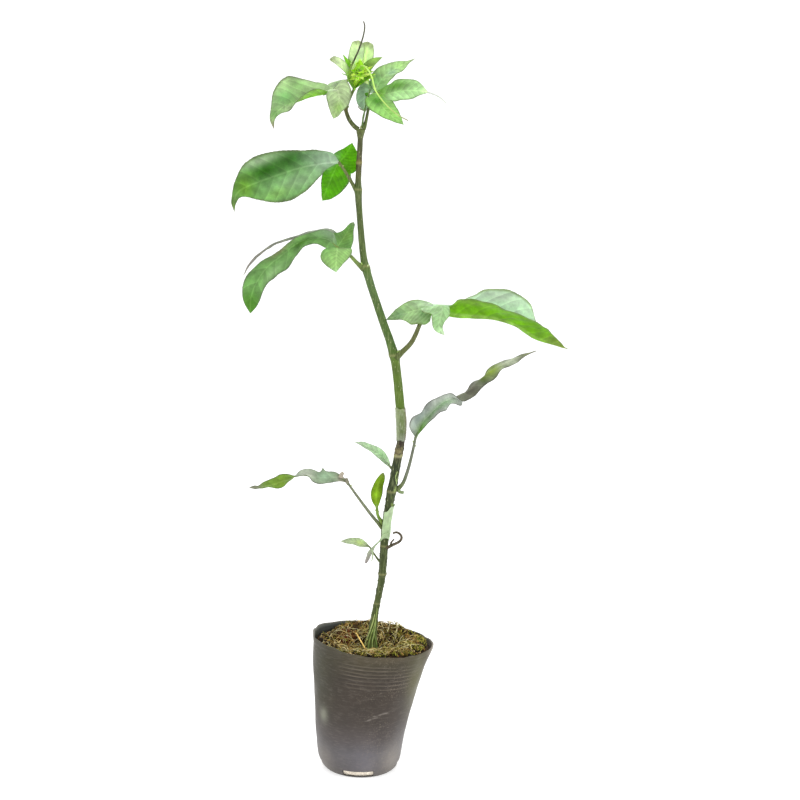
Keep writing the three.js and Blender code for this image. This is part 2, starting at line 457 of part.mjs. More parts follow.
        line: [[0, 0, 0], [0.5, -8, -2.7], [0.2, -14, -10.2], [0.6, -17, -18.4]],
        rows: [[0, 9, 8, 0, 0, 0], [0.12, 11, 12, 0, 0, 0], [0.32, 11.4, 14.6, -8, -8, 0], [0.5, 9.4, 14.2, -12, -12, 0], [0.68, 6.4, 11.2, -8, -8, 0], [0.85, 3.2, 5.8, 0, 0, 0], [1, 0, 0, 0, 0, 0]],
        faces: [[0, 0, -0.3, 1], [0.4, 0, -0.9, 0.6], [1, 0, -1, 0.3]],
      },
    ],
    extraLobes: [
      {
        line: [[0, 0, 0], [-6.6, 8, 9.4], [-20.6, 11, 9], [-34.6, 12, 5.4], [-48.8, 12, 0.9], [-62, 12, -8.5], [-69.8, 12, -16.8], [-74.2, 12, -25]],
        rows: [[0, 1, 1, 0, 0, 0], [0.1, 4, 4.6, 12, 12, 0], [0.24, 3.4, 4, 20, 20, 0], [0.36, 2.4, 2.6, 30, 30, 0], [0.46, 1.6, 1.5, 40, 40, 0], [0.7, 1.3, 1.2, 40, 40, 0], [0.92, 1, 0.9, 20, 20, 0], [1, 0, 0, 0, 0, 0]],
        faces: [[0, 0, -0.6, 0.8], [1, -0.5, -0.8, 0.5]],
      },
    ],
  },
  leaf_right_large: {
    root: [17.2, 0, 339.8], at: [45, 1, 380.4], through: [[22.6, -1, 345], [29, -1.5, 352.1], [32.9, -1, 360.1], [35.9, -0.6, 368], [40.4, 0.2, 375.4]], stalkRadii: [2.3, 1.5], web: 13, spread: 70, thick: 1.3,
    lobes: [
      {
        line: [[0, 0, 0], [7, -0.5, -3.4], [17.5, -1, -6.2], [33.5, -1, -6.6], [49, -1, -7.4], [65.5, 0, -12], [82, 3, -21.8], [97, 6, -26.3], [109.3, 8, -29.6]],
        rows: [[0, 0, 0, 40, 50, 0], [0.06, 7, 8, 38, 60, 0], [0.16, 15, 16.5, 38, 64, 0], [0.3, 20, 20, 50, 56, 0], [0.43, 24, 21.5, 60, 41, 0], [0.58, 26, 21, 70, 36, 0], [0.66, 22, 19.5, 72, 41, 0], [0.75, 15, 17.5, 52, 52, 0], [0.885, 9, 11, 32, 64, 0], [0.95, 3.8, 5, 22, 48, 0], [1, 0, 0, 0, 0, 0]],
        faces: [[0, 0, 0, 1], [1, 0, -0.1, 1]],
      },
      {
        line: [[0, 0, 0], [5, -12, 3.6], [7.3, -21, 0.4], [5.4, -28, -6.4], [5, -32, -12.2], [9.4, -34, -18]],
        rows: [[0, 0, 0, 0, 0, 0], [0.1, 4.5, 4.5, -8, -8, 0], [0.28, 7, 8.6, -24, -24, 0], [0.5, 7, 9.4, -34, -34, 0], [0.7, 4.6, 6.6, -30, -30, 0], [0.845, 3.8, 5.4, -16, -16, 0], [0.94, 2.2, 3, 0, 0, 0], [1, 0, 0, 0, 0, 0]],
        faces: [[0, 0, 0, 1], [0.45, 0.1, -0.7, 0.8], [1, 0.2, -1, 0.2]],
      },
      {
        line: [[0, 0, 0], [-10.2, 3, -2.2], [-22, 7, -5.8], [-30, 9.5, -9], [-36.6, 11, -12]],
        rows: [[0, 0, 0, 8, 8, 0], [0.1, 8, 8, 8, 8, 0], [0.26, 13.2, 10.6, 12, 8, 0], [0.42, 11.6, 9.8, 14, 8, 0], [0.56, 7.8, 8.2, 14, 10, 0], [0.75, 3.8, 5.4, 8, 8, 0], [0.9, 1.8, 2.4, 0, 0, 0], [1, 0, 0, 0, 0, 0]],
        faces: [[0, 0, -0.75, 0.6], [1, 0, -0.8, 0.5]],
      },
    ],
  },
  leaf_right_twisted: {
    root: [21.5, -0.4, 232.6], at: [35.4, 4, 275.4], through: [[26.4, 0.4, 237.8], [29.4, 1.4, 246], [31.9, 2.2, 256], [34.2, 3.2, 267.6]], stalkRadii: [1.6, 1.2],
    lobes: [
      {
        line: [[0, 0, 0], [4.1, 0, 9.9], [11.7, 0, 20], [21, 0.5, 29.2], [32.6, 1, 34.4], [42, 2, 39.6], [50.4, 3, 48.4], [60, 4, 56], [70.3, 5, 61.8], [81.3, 5.5, 67.2], [94.5, 6, 72.6]],
        rows: [[0, 0.6, 0.6, 10, 10, 0], [0.03, 5.4, 2.4, 20, 20, 0], [0.087, 9.4, 4.6, 24, 30, 0], [0.15, 8.2, 5.6, 24, 30, 0], [0.21, 9.4, 7.4, 24, 30, 0], [0.28, 7.2, 8.2, 24, 30, 8], [0.33, 6.4, 6.6, 30, 34, 40], [0.385, 5.4, 6, 44, 44, 92], [0.44, 5.4, 6.2, 30, 30, 140], [0.5, 6.4, 5.4, 24, 24, 158], [0.56, 5, 4.8, 24, 24, 150], [0.6, 5.6, 5.2, 24, 24, 145], [0.66, 6.8, 6, 22, 22, 150], [0.72, 6.2, 5, 20, 20, 160], [0.79, 4.6, 3.6, 16, 16, 165], [0.89, 2, 1.7, 10, 10, 165], [0.95, 0.9, 0.9, 0, 0, 165], [1, 0, 0, 0, 0, 165]],
        faces: [[0, -0.3, -0.8, 0.5], [0.5, -0.3, -0.85, 0.5], [1, -0.2, -0.8, 0.6]], wave: 1.3, waves: 5, phase: 0.6,
      },
    ],
    threads: [
      { places: [[22, -0.5, 233.2], [24.6, -1, 231.2], [27.6, -1.2, 230.8]], radii: [1.5, 1.2] },
      { places: [[20.2, -1.6, 233.6], [21.2, -3.4, 239], [20.4, -4.4, 244], [21.8, -4.2, 248.6]], radii: [0.9, 0.35] },
    ],
  },
  leaf_small_pale: {
    root: [19.3, 0, 247.6], at: [16, 0.6, 251], stalkRadii: [0.95, 0.75], thick: 0.9,
    lobes: [
      {
        line: [[0, 0, 0], [-4, 1, 5.4], [-9, 2.4, 10.4], [-17.4, 4.4, 14.2], [-24, 6, 17.2], [-30, 7.4, 18.2]],
        rows: [[0, 0.6, 0.6, 10, 10, 0], [0.12, 2.6, 2.2, 24, 24, 0], [0.3, 4.4, 3.6, 32, 32, 0], [0.5, 4.2, 3.8, 34, 34, 0], [0.7, 3, 2.8, 26, 26, 0], [0.86, 1.7, 1.6, 12, 12, 0], [1, 0, 0, 0, 0, 0]],
        faces: [[0, -0.2, -0.8, 0.5], [1, 0, -0.7, 0.7]],
      },
    ],
  },
  leaf_small_upright: {
    root: [13.2, -0.5, 203.5], at: [6.4, -3, 217.6], through: [[9.6, -1.4, 207.4], [7.2, -2.6, 212]], stalkRadii: [1.2, 0.8], thick: 0.9,
    lobes: [
      {
        line: [[0, 0, 0], [-1.1, 1, 8.8], [0.2, 3, 18.3], [4.2, 5, 28.6]],
        rows: [[0, 0.5, 0.5, 6, 6, 0], [0.14, 2.2, 2, 8, 8, 0], [0.4, 4.6, 4, 10, 10, 0], [0.62, 4.8, 3.6, 10, 10, 0], [0.85, 3.4, 2.2, 8, 8, 0], [0.95, 1.8, 1.2, 0, 0, 0], [1, 0, 0, 0, 0, 0]],
        faces: [[0, -0.1, 1, 0.1], [1, -0.1, 1, 0.1]],
      },
    ],
  },
  leaf_left_twisted: {
    root: [11.6, 0.4, 200.4], at: [-18.4, -8, 240], through: [[3.6, -2.2, 209.8], [-5, -5, 221.2], [-14, -7, 233.6]], stalkRadii: [1.5, 1.05],
    lobes: [
      {
        line: [[0, 0, 0], [-9.6, -2, 3.3], [-19.8, -5, 3], [-30.6, -7, 5.6], [-39.2, -9, 4.8], [-47, -10, 2.1], [-56.3, -11, -1.6], [-66.4, -12, -3.8], [-76.4, -13, -5]],
        rows: [[0, 1.2, 1, 10, 10, 20], [0.06, 2.4, 2.6, 10, 10, 20], [0.13, 4.2, 4.4, 16, 16, 24], [0.22, 6, 6, 16, 16, 26], [0.245, 6.2, 8.4, 16, 16, 28], [0.27, 6.2, 6, 16, 16, 30], [0.36, 6, 6, 14, 14, 46], [0.43, 5.6, 6, 12, 12, 62], [0.51, 5.6, 5.6, 10, 10, 82], [0.58, 5.8, 5.8, 10, 10, 112], [0.68, 6.2, 6.2, 12, 12, 142], [0.78, 4.8, 4.8, 12, 12, 140], [0.87, 3, 3, 8, 8, 130], [0.91, 2.4, 2.4, 4, 4, 110], [0.95, 2, 2, 4, 4, 140], [1, 0, 0, 0, 0, 150]],
        faces: [[0, 0, -1, 0.2], [1, 0, -1, 0.2]], wave: 0.8, waves: 5, phase: 0.8,
      },
    ],
    threads: [
      { places: [[-17.6, -8.2, 238.8], [-18.6, -8.6, 241], [-18, -8.8, 242.4]], radii: [1.7, 1.1] },
      { places: [[-23.4, -9.4, 243.4], [-22.4, -9.6, 246], [-21, -9.4, 247.2]], radii: [1.9, 1.3] },
    ],
  },
  leaf_small_low: {
    root: [12.4, 0.6, 170], at: [1.4, 1.5, 184.2], through: [[8.6, 0.8, 174], [4.6, 1.2, 179.4]], stalkRadii: [0.95, 0.7], thick: 0.9,
    lobes: [
      {
        line: [[0, 0, 0], [-5.7, -1, 2.4], [-13.9, -2, 4.4], [-24, -3, 4.6]],
        rows: [[0, 0.5, 0.5, 6, 6, 0], [0.14, 2, 2, 16, 16, 0], [0.36, 3.6, 3.8, 24, 24, 0], [0.6, 3.2, 3.2, 22, 22, 0], [0.84, 1.5, 1.6, 8, 8, 0], [1, 0, 0, 0, 0, 0]],
        faces: [[0, 0, -0.75, 0.6], [1, 0, -0.8, 0.6]],
      },
    ],
  },
};

// the tuft of young leaves at the shoot tip, with the tendril that stands above it
const tuft = {
  base: [-21.9, 0, 547.4],
  blades: [
    { line: [[0, 0, 0], [-1.3, 4, 12.3], [-1, 6, 24], [0.4, 6.4, 36.6]], half: 5.6, blunt: true, face: [0.1, -0.9, 0.1], fold: 18 },
    { line: [[0, 0, 0], [4.8, 5, 12.6], [8.8, 8, 24.6], [9.8, 8, 36.2]], half: 6, blunt: true, face: [-0.2, -0.9, 0.1], fold: 16 },
    { line: [[0, 0, 0], [-4.7, -4, 8.5], [-10.8, -8, 15.4], [-18.9, -9, 20.2]], half: 4.6, blunt: true, face: [0.4, -0.6, 0.7], fold: 34 },
    { line: [[0, 0, 0], [6.7, -2, 9.8], [12.6, -4, 18.1], [21.3, -6, 23.6]], half: 4.4, face: [-0.5, -0.6, 0.6], fold: 30 },
    { line: [[0, 0, 0], [-3, -6, 5.4], [-5.4, -10, 12.2]], half: 4.4, face: [0.3, -0.8, 0.5], fold: 24 },
    { line: [[0, 0, 0], [7.7, -6, 5.8], [16.1, -10, 10.9]], half: 3.6, face: [-0.3, -0.8, 0.5], fold: 26 },
    { line: [[0, 0, 0], [-3.5, 0, 13.4], [-8.9, -1, 25]], half: 2.2, face: [0.5, -0.8, 0], fold: 44 },
    { line: [[0, 0, 0], [-2.6, 10, 9], [-5, 16, 18]], half: 4.4, face: [0.2, 0.8, 0.4], fold: 24 },
    { line: [[0, 0, 0], [1, 7, 12], [4, 13, 22]], half: 4, face: [-0.2, 0.8, 0.4], fold: 24 },
    { line: [[0, 0, 0], [0.5, -4, 9], [2, -8, 19]], half: 3.6, face: [0, -0.9, 0.3], fold: 24 },
  ],
  tendrils: [
    { places: [[-21.8, -0.5, 548.5], [-24.6, -1.5, 553], [-25.3, -1.5, 559.6], [-21.7, -1, 568.6], [-18.2, -0.5, 577.7], [-15.8, 0, 586.8], [-15, 0, 593.6], [-16, 0, 597.6]], radii: [0.85, 0.45], steps: 16 },
    { places: [[-20.6, -2, 551], [-19.6, -5, 559], [-16.4, -8, 563.8], [-11.9, -12, 561.4], [-7, -17, 555], [-2.1, -22, 544.6], [5.1, -27, 534.7], [12.9, -31, 527], [20.6, -34, 522.7]], radii: [0.7, 0.4], steps: 18 },
  ],
};

// half widths along a plain leaf, as shares of the widest
const pointed = [[0, 0.25], [0.12, 0.55], [0.3, 0.92], [0.48, 1], [0.66, 0.84], [0.82, 0.52], [0.93, 0.22], [1, 0]];
const blunt = [[0, 0.25], [0.12, 0.6], [0.3, 0.9], [0.5, 1], [0.72, 1], [0.88, 0.9], [0.96, 0.66], [1, 0.1]];
const plainLeaf = (b) => ({ ...b, rows: (b.blunt ? blunt : pointed).map(([t, w]) => [t, b.half * w, b.half * w, b.fold, b.fold, 0]), faces: [[0, ...b.face], [1, ...b.face]] });

function makeTuft() {
  const pieces = tuft.blades.map((b) => bladeSolid({ lobes: [plainLeaf(b)] }, tuft.base, 0.8, 8, 0, 1));
  pieces.push(stalk(bend(plus(tuft.base, [0.2, 0, -1.6]), plus(tuft.base, [0, 0, 3]), [0, 0, 0], 3), [1.2, 1.5], 9));
  for (const t of tuft.tendrils) pieces.push(stalk(through(t.places, t.steps), t.radii, 5));
  return whole(joined(pieces).subtract(boughRoom).subtract(trunkRoom));
}

// a curled old tendril by the torn film
const curl = {
  main: [[14.2, -2, 184.6], [17, -4.4, 186.2], [20.4, -5.8, 188.6], [24.4, -7, 191], [26.9, -7.6, 194], [26.4, -7.6, 197.2], [23.2, -7, 199.2], [20, -6.6, 198.4]],
  prong: [[18.8, -5, 187.6], [18.9, -6.6, 190.6], [21, -7.6, 193.6]],
};
const makeCurl = () => joined([stalk(through(curl.main, 18), [0.95, 0.6], 6), stalk(through(curl.prong, 4), [0.7, 0.45], 5)]).subtract(trunkRoom);

// ---- the assembly -----------------------------------------------------------------------------------
const group = new THREE.Group();
group.name = "potted_vine";

function addPart(name, body, colour, roughness) {
  const mesh = body.getMesh();
  const geometry = new THREE.BufferGeometry();
  geometry.setAttribute("position", new THREE.BufferAttribute(Float32Array.from(mesh.vertProperties), 3));
  geometry.setIndex(new THREE.BufferAttribute(Uint32Array.from(mesh.triVerts), 1));
  geometry.computeVertexNormals();
  const part = new THREE.Mesh(geometry, new THREE.MeshStandardMaterial({ color: colour, roughness, metalness: 0 }));
  part.name = name;
  group.add(part);
}

addPart("pot", makePot(), "#5b5248", 0.6);
addPart("growing_medium", makeFilling(), "#6b5638", 0.95);
addPart("trunk", trunk, "#5f7a3a", 0.6);
addPart("graft_tape_upper", bindingUpper, "#9bad85", 0.4);
addPart("graft_tape_lower", makeBindingLower(), "#a9bf93", 0.4);
addPart("top_bough", bough, "#6c7a48", 0.6);
for (const [name, leaf] of Object.entries(leaves)) addPart(name, whole(leafOnStalk(leaf).subtract(trunkRoom).subtract(boughRoom)), "#6fae45", 0.5);
addPart("shoot_tip", makeTuft(), "#8fd23c", 0.5);
addPart("tendril_low", makeCurl(), "#5d5148", 0.7);

export default group;
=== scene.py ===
import math
from functools import partial
import bpy
import numpy as np
from mathutils import Euler, Matrix, Vector


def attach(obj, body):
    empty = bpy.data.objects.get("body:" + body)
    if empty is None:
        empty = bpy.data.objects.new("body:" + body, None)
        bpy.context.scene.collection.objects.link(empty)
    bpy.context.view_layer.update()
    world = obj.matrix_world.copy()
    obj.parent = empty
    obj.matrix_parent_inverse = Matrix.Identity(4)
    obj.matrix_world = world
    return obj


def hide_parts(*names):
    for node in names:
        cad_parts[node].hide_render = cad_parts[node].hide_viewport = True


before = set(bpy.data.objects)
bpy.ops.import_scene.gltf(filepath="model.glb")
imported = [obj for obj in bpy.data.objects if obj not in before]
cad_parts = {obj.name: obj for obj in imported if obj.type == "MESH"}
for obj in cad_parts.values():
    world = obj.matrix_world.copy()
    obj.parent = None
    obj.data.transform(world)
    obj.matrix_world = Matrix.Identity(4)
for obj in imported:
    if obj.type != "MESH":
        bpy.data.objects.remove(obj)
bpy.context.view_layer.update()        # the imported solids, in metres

# A grafted passion fruit vine in a soft nursery pot. The shapes are worked out in millimetres, in the
# frame of the solids, and go into meshes in metres.

# camera: where the photograph was taken from
cameraSet = {"place": (0.0219, -1.05, 0.4685), "lookDown": 8.8, "roll": 2.0, "lens": 59.94, "sensor": 36.0}

lens = bpy.data.cameras.new("photoCamera")
lens.lens, lens.sensor_width, lens.clip_start = cameraSet["lens"], cameraSet["sensor"], 0.02
camera = bpy.data.objects.new("photoCamera", lens)
bpy.context.scene.collection.objects.link(camera)
camera.matrix_world = (
    Matrix.Translation(cameraSet["place"])
    @ Euler((math.radians(90 - cameraSet["lookDown"]), 0, 0)).to_matrix().to_4x4()
    @ Matrix.Rotation(math.radians(cameraSet["roll"]), 4, "Z")
)
bpy.context.scene.camera = camera
print("camera placed")


def vec(*numbers):
    return np.array(numbers, float)


def unit(v):
    return v / np.maximum(np.linalg.norm(v, axis=-1, keepdims=True), 1e-9)


# directions evenly round a full turn
def circle(count):
    return np.arange(count) * 2 * np.pi / count


# an angle measured from a direction, within half a turn either way
def turnFrom(turn, way):
    return np.angle(np.exp(1j * (turn - way)))


# bell curve: 1 at nought, and e to the minus (x / width)^2 away from it
def bell(x, width):
    return np.exp(-((x / width) ** 2))


# smooth step: 0 below low, 1 above high, 3t^2 - 2t^3 between
def ease(x, low, high):
    t = np.clip((x - low) / (high - low), 0, 1)
    return t * t * (3 - 2 * t)


# soft noise, about -1 to 1: sine waves in seeded directions, each octave half as long and half as high
def ripple(points, size, seed, octaves=3):
    rng = np.random.default_rng(seed)
    total = np.zeros(len(points))
    for k in range(octaves):
        ways = unit(rng.normal(size=(7, 3))) * 2 * np.pi / (size * 0.5 ** k)
        total += np.sin(points @ ways.T + rng.uniform(0, 2 * np.pi, 7)).mean(1) * 0.5 ** k
    return total * 1.6


# sRGB hex values to linear light, one row each
def linear(*hexes):
    codes = np.array([[int(h[k:k + 2], 16) / 255 for k in (1, 3, 5)] for h in hexes])
    return np.where(codes <= 0.04045, codes / 12.92, ((codes + 0.055) / 1.055) ** 2.4)


def colour(code):
    return (*linear(code)[0].tolist(), 1.0)


# rows of three numbers at their places, read at x by straight blends between them
def readAt(x, places, rows):
    return np.stack([np.interp(x, places, rows[:, k]) for k in range(3)], -1)


# colours along a row of places, [[place, hex], ...]
def toneAlong(rows, x):
    places, codes = zip(*rows)
    return readAt(x, places, linear(*codes))


def mixTones(a, b, share):
    return a + (b - a) * np.clip(share, 0, 1)[:, None]


# the same tone for every point
def plain(code, points):
    return np.repeat(linear(code), len(points), 0)


# tones made uneven by soft noise
def uneven(tones, share, points, size, seed, octaves=2):
    return tones * (1 + share * ripple(points, size, seed, octaves))[:, None]


# a mesh of triangles; tones and ribs hold one row for each corner, or tones one for each point
def makePiece(name, points, tris, tones, nodes, slotName, finish, ribs=None):
    mesh = bpy.data.meshes.new(name)
    mesh.vertices.add(len(points))
    mesh.vertices.foreach_set("co", (np.asarray(points) * 0.001).astype(np.float32).ravel())
    mesh.loops.add(tris.size)
    mesh.loops.foreach_set("vertex_index", tris.astype(np.int32).ravel())
    mesh.polygons.add(len(tris))
    mesh.polygons.foreach_set("loop_start", np.arange(0, tris.size, 3, dtype=np.int32))
    mesh.update(calc_edges=True)
    mesh.polygons.foreach_set("use_smooth", np.ones(len(tris), bool))
    domain = "CORNER" if len(tones) == tris.size else "POINT"
    layer = mesh.color_attributes.new(name="tone", type="FLOAT_COLOR", domain=domain)
    solid = np.column_stack([np.clip(tones, 0, 1), np.ones(len(tones))])
    layer.data.foreach_set("color", solid.astype(np.float32).ravel())
    if ribs is not None:
        mesh.uv_layers.new(name="ribs").data.foreach_set("uv", ribs.astype(np.float32).ravel())
    mesh.validate()
    mesh.materials.append(finish)
    piece = bpy.data.objects.new(name, mesh)
    bpy.context.scene.collection.objects.link(piece)
    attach(piece, "root")
    if nodes:
        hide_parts(*nodes)


# several bodies put into one list of points, triangles and tones
def gather(bodies):
    starts = np.cumsum([0] + [len(b[0]) for b in bodies[:-1]])
    return (
        np.concatenate([b[0] for b in bodies]),
        np.concatenate([b[1] + s for b, s in zip(bodies, starts)]),
        np.concatenate([b[2] for b in bodies]),
    )


# two triangles for every face with the corners a, b, c, d
def quads(a, b, c, d):
    return [np.stack([a, b, c], 1), np.stack([a, c, d], 1)]


# rings joined one to the next; a fan closes each end, or the last ring joins the first
def skin(rings, looped=False, keep=None):
    rows, sides = rings.shape[:2]
    r, s = np.meshgrid(np.arange(rows if looped else rows - 1), np.arange(sides), indexing="ij")
    if keep is not None:
        r, s = r[keep], s[keep]
    r, s = r.ravel(), s.ravel()
    a, b = r * sides + s, r * sides + (s + 1) % sides
    c, d = (r + 1) % rows * sides + s, (r + 1) % rows * sides + (s + 1) % sides
    tris = quads(a, b, d, c)
    points = [rings.reshape(-1, 3)]
    if not looped:
        j, end = np.arange(sides), rows * sides
        points += [rings[0].mean(0)[None], rings[-1].mean(0)[None]]
        tris += [np.stack([np.full(sides, end), (j + 1) % sides, j], 1)]
        tris += [np.stack([np.full(sides, end + 1), end - sides + j, end - sides + (j + 1) % sides], 1)]
    return np.concatenate(points), np.concatenate(tris)


# faces of a closed shell: a sheet's own, those of its copy n points on turned round, and a wall along its rim
def shellFaces(sheet, rim, n):
    a, b = rim.T
    return np.concatenate([sheet, sheet[:, ::-1] + n, *quads(b, a, a + n, b + n)])


# ovals square to a path: place + side * wide cos(turn) + other * thick sin(turn)
def ovals(path, tangent, side, turn, wide, thick):
    other = np.cross(tangent, side)
    out = side[:, None] * (np.cos(turn) * wide)[..., None] + other[:, None] * (np.sin(turn) * thick)[..., None]
    return path[:, None] + out


# a tube: circles square to the path, measured from the direction that the path turns towards least
def tube(path, radii, sides=10, squash=None):
    tangent = unit(np.gradient(path, axis=0))
    across = np.linalg.svd(tangent, full_matrices=False)[2][-1]
    turn = circle(sides)
    radii = np.broadcast_to(radii, len(path))[:, None] * (1 if squash is None else squash(turn)[None])
    return skin(ovals(path, tangent, unit(np.cross(across, tangent)), turn, radii, radii))


# the length run along a path up to each of its points
def runLength(path):
    return np.concatenate([[0], np.cumsum(np.linalg.norm(np.diff(path, axis=0), axis=1))])


# a line with a bow: straight, plus the bow times 4t(1-t)
def bend(root, end, bow, count):
    t = np.linspace(0, 1, count + 1)[:, None]
    return root + (end - root) * t + bow * 4 * t * (1 - t)


# a smooth line through places: between two of them a cubic that leaves each along its neighbours' chord
def through(places, count):
    p = np.array(places, float)
    p = np.concatenate([2 * p[:1] - p[1:2], p, 2 * p[-1:] - p[-2:-1]])
    x = np.linspace(0, len(places) - 1, count + 1)
    i = np.minimum(x.astype(int), len(places) - 2)
    u = (x - i)[:, None]
    a, b, c, d = p[i], p[i + 1], p[i + 2], p[i + 3]
    return 0.5 * (2 * b + (c - a) * u + (2 * a - 5 * b + 4 * c - d) * u ** 2 + (3 * b - a - 3 * c + d) * u ** 3)


# copies of one small shape as one body: the points of each copy, the shape's faces, and a tone for each copy
def copies(points, faces, tones):
    count, size = points.shape[:2]
    tris = faces[None] + (np.arange(count) * size)[:, None, None]
    return points.reshape(-1, 3), tris.reshape(-1, 3), np.repeat(tones, size, axis=0)


# small shapes dealt out: each copy is scaled, turned by its matrix, and set at its place
def dealOut(shape, faces, places, turns, scales, tones):
    points = np.einsum("nij,nvj->nvi", turns, shape[None] * scales[:, None, :]) + places[:, None]
    return copies(points, faces, tones)


# turns in every direction, from seeded quaternions
def anyTurns(rng, count):
    w, x, y, z = unit(rng.normal(size=(count, 4))).T
    return np.stack([
        1 - 2 * (y * y + z * z), 2 * (x * y - z * w), 2 * (x * z + y * w),
        2 * (x * y + z * w), 1 - 2 * (x * x + z * z), 2 * (y * z - x * w),
        2 * (x * z - y * w), 2 * (y * z + x * w), 1 - 2 * (x * x + y * y),
    ], 1).reshape(-1, 3, 3)


# adds a node with its settings and gives one of its outputs; the inputs stand in the sockets' order, or by name or
# number, and each is a number, a colour or another node's output
def addNode(tree, kind, inputs=(), out=0, **settings):
    node = tree.nodes.new("ShaderNode" + kind)
    for key, value in settings.items():
        setattr(node, key, value)
    for key, value in inputs.items() if isinstance(inputs, dict) else enumerate(inputs):
        if isinstance(value, bpy.types.NodeSocket):
            tree.links.new(value, node.inputs[key])
        else:
            node.inputs[key].default_value = value
    return node.outputs[out] if node.outputs else node


# an empty finish, and the function that adds nodes to it
def newFinish(name):
    finish = bpy.data.materials.new(name)
    finish.use_nodes = True
    finish.node_tree.nodes.clear()
    return finish, partial(addNode, finish.node_tree)


# a finish that starts from the tone painted on a piece and the place on it, in metres
def paintedFinish(name):
    finish, add = newFinish(name)
    return finish, add, add("Attribute", attribute_name="tone"), add("TexCoord", out="Object")


# living leaf: a waxy skin over a mesh of fine veins, quilted between its ribs; gives soft gloss, ribs paler than the
# blade, painted shade and painted light on the two sides of each swelling (less so by quilt), and light coming through
def leafFinish(name, shine=0.42, through=0.38, glow="#b9e36a", quilt=1.0):
    finish, add, tone, place = paintedFinish(name)
    # side ribs lie where the first number passes a half, the midrib where the second is nought
    ribCount, fromMidrib = add("SeparateXYZ", [add("UVMap", uv_map="ribs")], slice(0, 2))
    phase = add("Math", [ribCount], operation="FRACT")
    phase = add("Math", [phase, 0.5], operation="SUBTRACT")
    phase = add("Math", [phase], operation="ABSOLUTE")
    sideRib = add("MapRange", [phase, 0.0, 0.16, 0.26 * quilt, 0.0], interpolation_type="SMOOTHSTEP")
    past = add("Math", [ribCount, 0.5], operation="ADD")
    past = add("Math", [past], operation="FRACT")
    # painted shade just past each rib, rising to painted light just before the next
    paintedRibShade = add("MapRange", [past, 0.0, 1.0, 1 - 0.18 * quilt, 1 + 0.16 * quilt])
    across = add("Math", [fromMidrib], operation="ABSOLUTE")
    midRib = add("MapRange", [across, 0.25, 1.0, 0.1 + 0.6 * quilt, 0.0], interpolation_type="SMOOTHSTEP")
    net = add("TexVoronoi", {"Vector": place, "Scale": 480.0}, feature="DISTANCE_TO_EDGE")  # vein net, 2 mm
    netLine = add("MapRange", [net, 0.02, 0.14, 0.12, 0.0])
    lines = add("Math", [sideRib, midRib], operation="MAXIMUM")
    lines = add("Math", [lines, netLine], operation="MAXIMUM")
    # 7 mm blotches with finer ones in them
    cloud = add("TexNoise", {"Vector": place, "Scale": 140.0, "Detail": 6.0, "Roughness": 0.74})
    cloud = add("MapRange", [cloud, 0.3, 0.7, 0.78, 1.2])
    shade = add("Math", [cloud, paintedRibShade], operation="MULTIPLY")
    mottled = add("VectorMath", {0: tone, "Scale": shade}, operation="SCALE")
    paler = add("VectorMath", [mottled, (1.35, 1.25, 1.35), (0.06, 0.07, 0.04)], operation="MULTIPLY_ADD")
    base = add("Mix", {0: lines, 6: mottled, 7: paler}, 2, data_type="RGBA")
    relief = add("Math", [netLine, cloud], operation="SUBTRACT")
    bump = add("Bump", {"Height": relief, "Strength": 0.35, "Distance": 0.0004})
    waxy = add("BsdfPrincipled", {
        "Base Color": base, "Roughness": shine, "IOR": 1.45, "Specular IOR Level": 0.22, "Normal": bump})
    lit = add("Mix", {0: 0.45, 6: base, 7: colour(glow)}, 2, data_type="RGBA", blend_type="MULTIPLY")
    thin = add("BsdfTranslucent", {"Color": lit, "Normal": bump})
    add("OutputMaterial", [add("MixShader", [through, waxy, thin])])
    return finish


# young stem skin: smooth green rind with lengthwise streaks and pale breathing pores; gives a dull satin
def stemFinish(name, streak, pore, rough=0.5):
    finish, add, tone, place = paintedFinish(name)
    drawn = add("Mapping", {"Vector": place, "Scale": (1.0, 1.0, 0.12)})  # stretched along the stem
    lines = add("TexNoise", {"Vector": drawn, "Scale": 900.0, "Detail": 5.0, "Roughness": 0.65})  # 1 mm streaks
    share = add("MapRange", [lines, 0.48, 0.72, 0.0, 0.3])
    base = add("Mix", {0: share, 6: tone, 7: colour(streak)}, 2, data_type="RGBA")
    long = add("Mapping", {"Vector": place, "Scale": (1.0, 1.0, 0.45)})
    spots = add("TexVoronoi", {"Vector": long, "Scale": 420.0})
    dots = add("MapRange", [spots, 0.08, 0.16, 0.5, 0.0])
    base = add("Mix", {0: dots, 6: base, 7: colour(pore)}, 2, data_type="RGBA")
    height = add("Math", [lines, dots], operation="ADD")
    bump = add("Bump", {"Height": height, "Strength": 0.5, "Distance": 0.0003})
    add("OutputMaterial", [add("BsdfPrincipled", {
        "Base Color": base, "Roughness": rough, "IOR": 1.45, "Specular IOR Level": 0.3, "Normal": bump})])
    return finish


# dry plant stuff, bark, coir, moss and straw: rough fibrous skin; gives no gloss and a fine speckle
def dryFinish(name, rough=0.9, grain=1100.0, contrast=0.45):
    finish, add, tone, place = paintedFinish(name)
    speck = add("TexNoise", {"Vector": place, "Scale": grain, "Detail": 5.0, "Roughness": 0.7})
    shade = add("MapRange", [speck, 0.3, 0.7, 1 - contrast, 1 + contrast])
    base = add("VectorMath", {0: tone, "Scale": shade}, operation="SCALE")
    bump = add("Bump", {"Height": speck, "Strength": 0.7, "Distance": 0.0006})
    add("OutputMaterial", [add("BsdfPrincipled", {
        "Base Color": base, "Roughness": rough, "IOR": 1.4, "Specular IOR Level": 0.25, "Normal": bump})])
    return finish


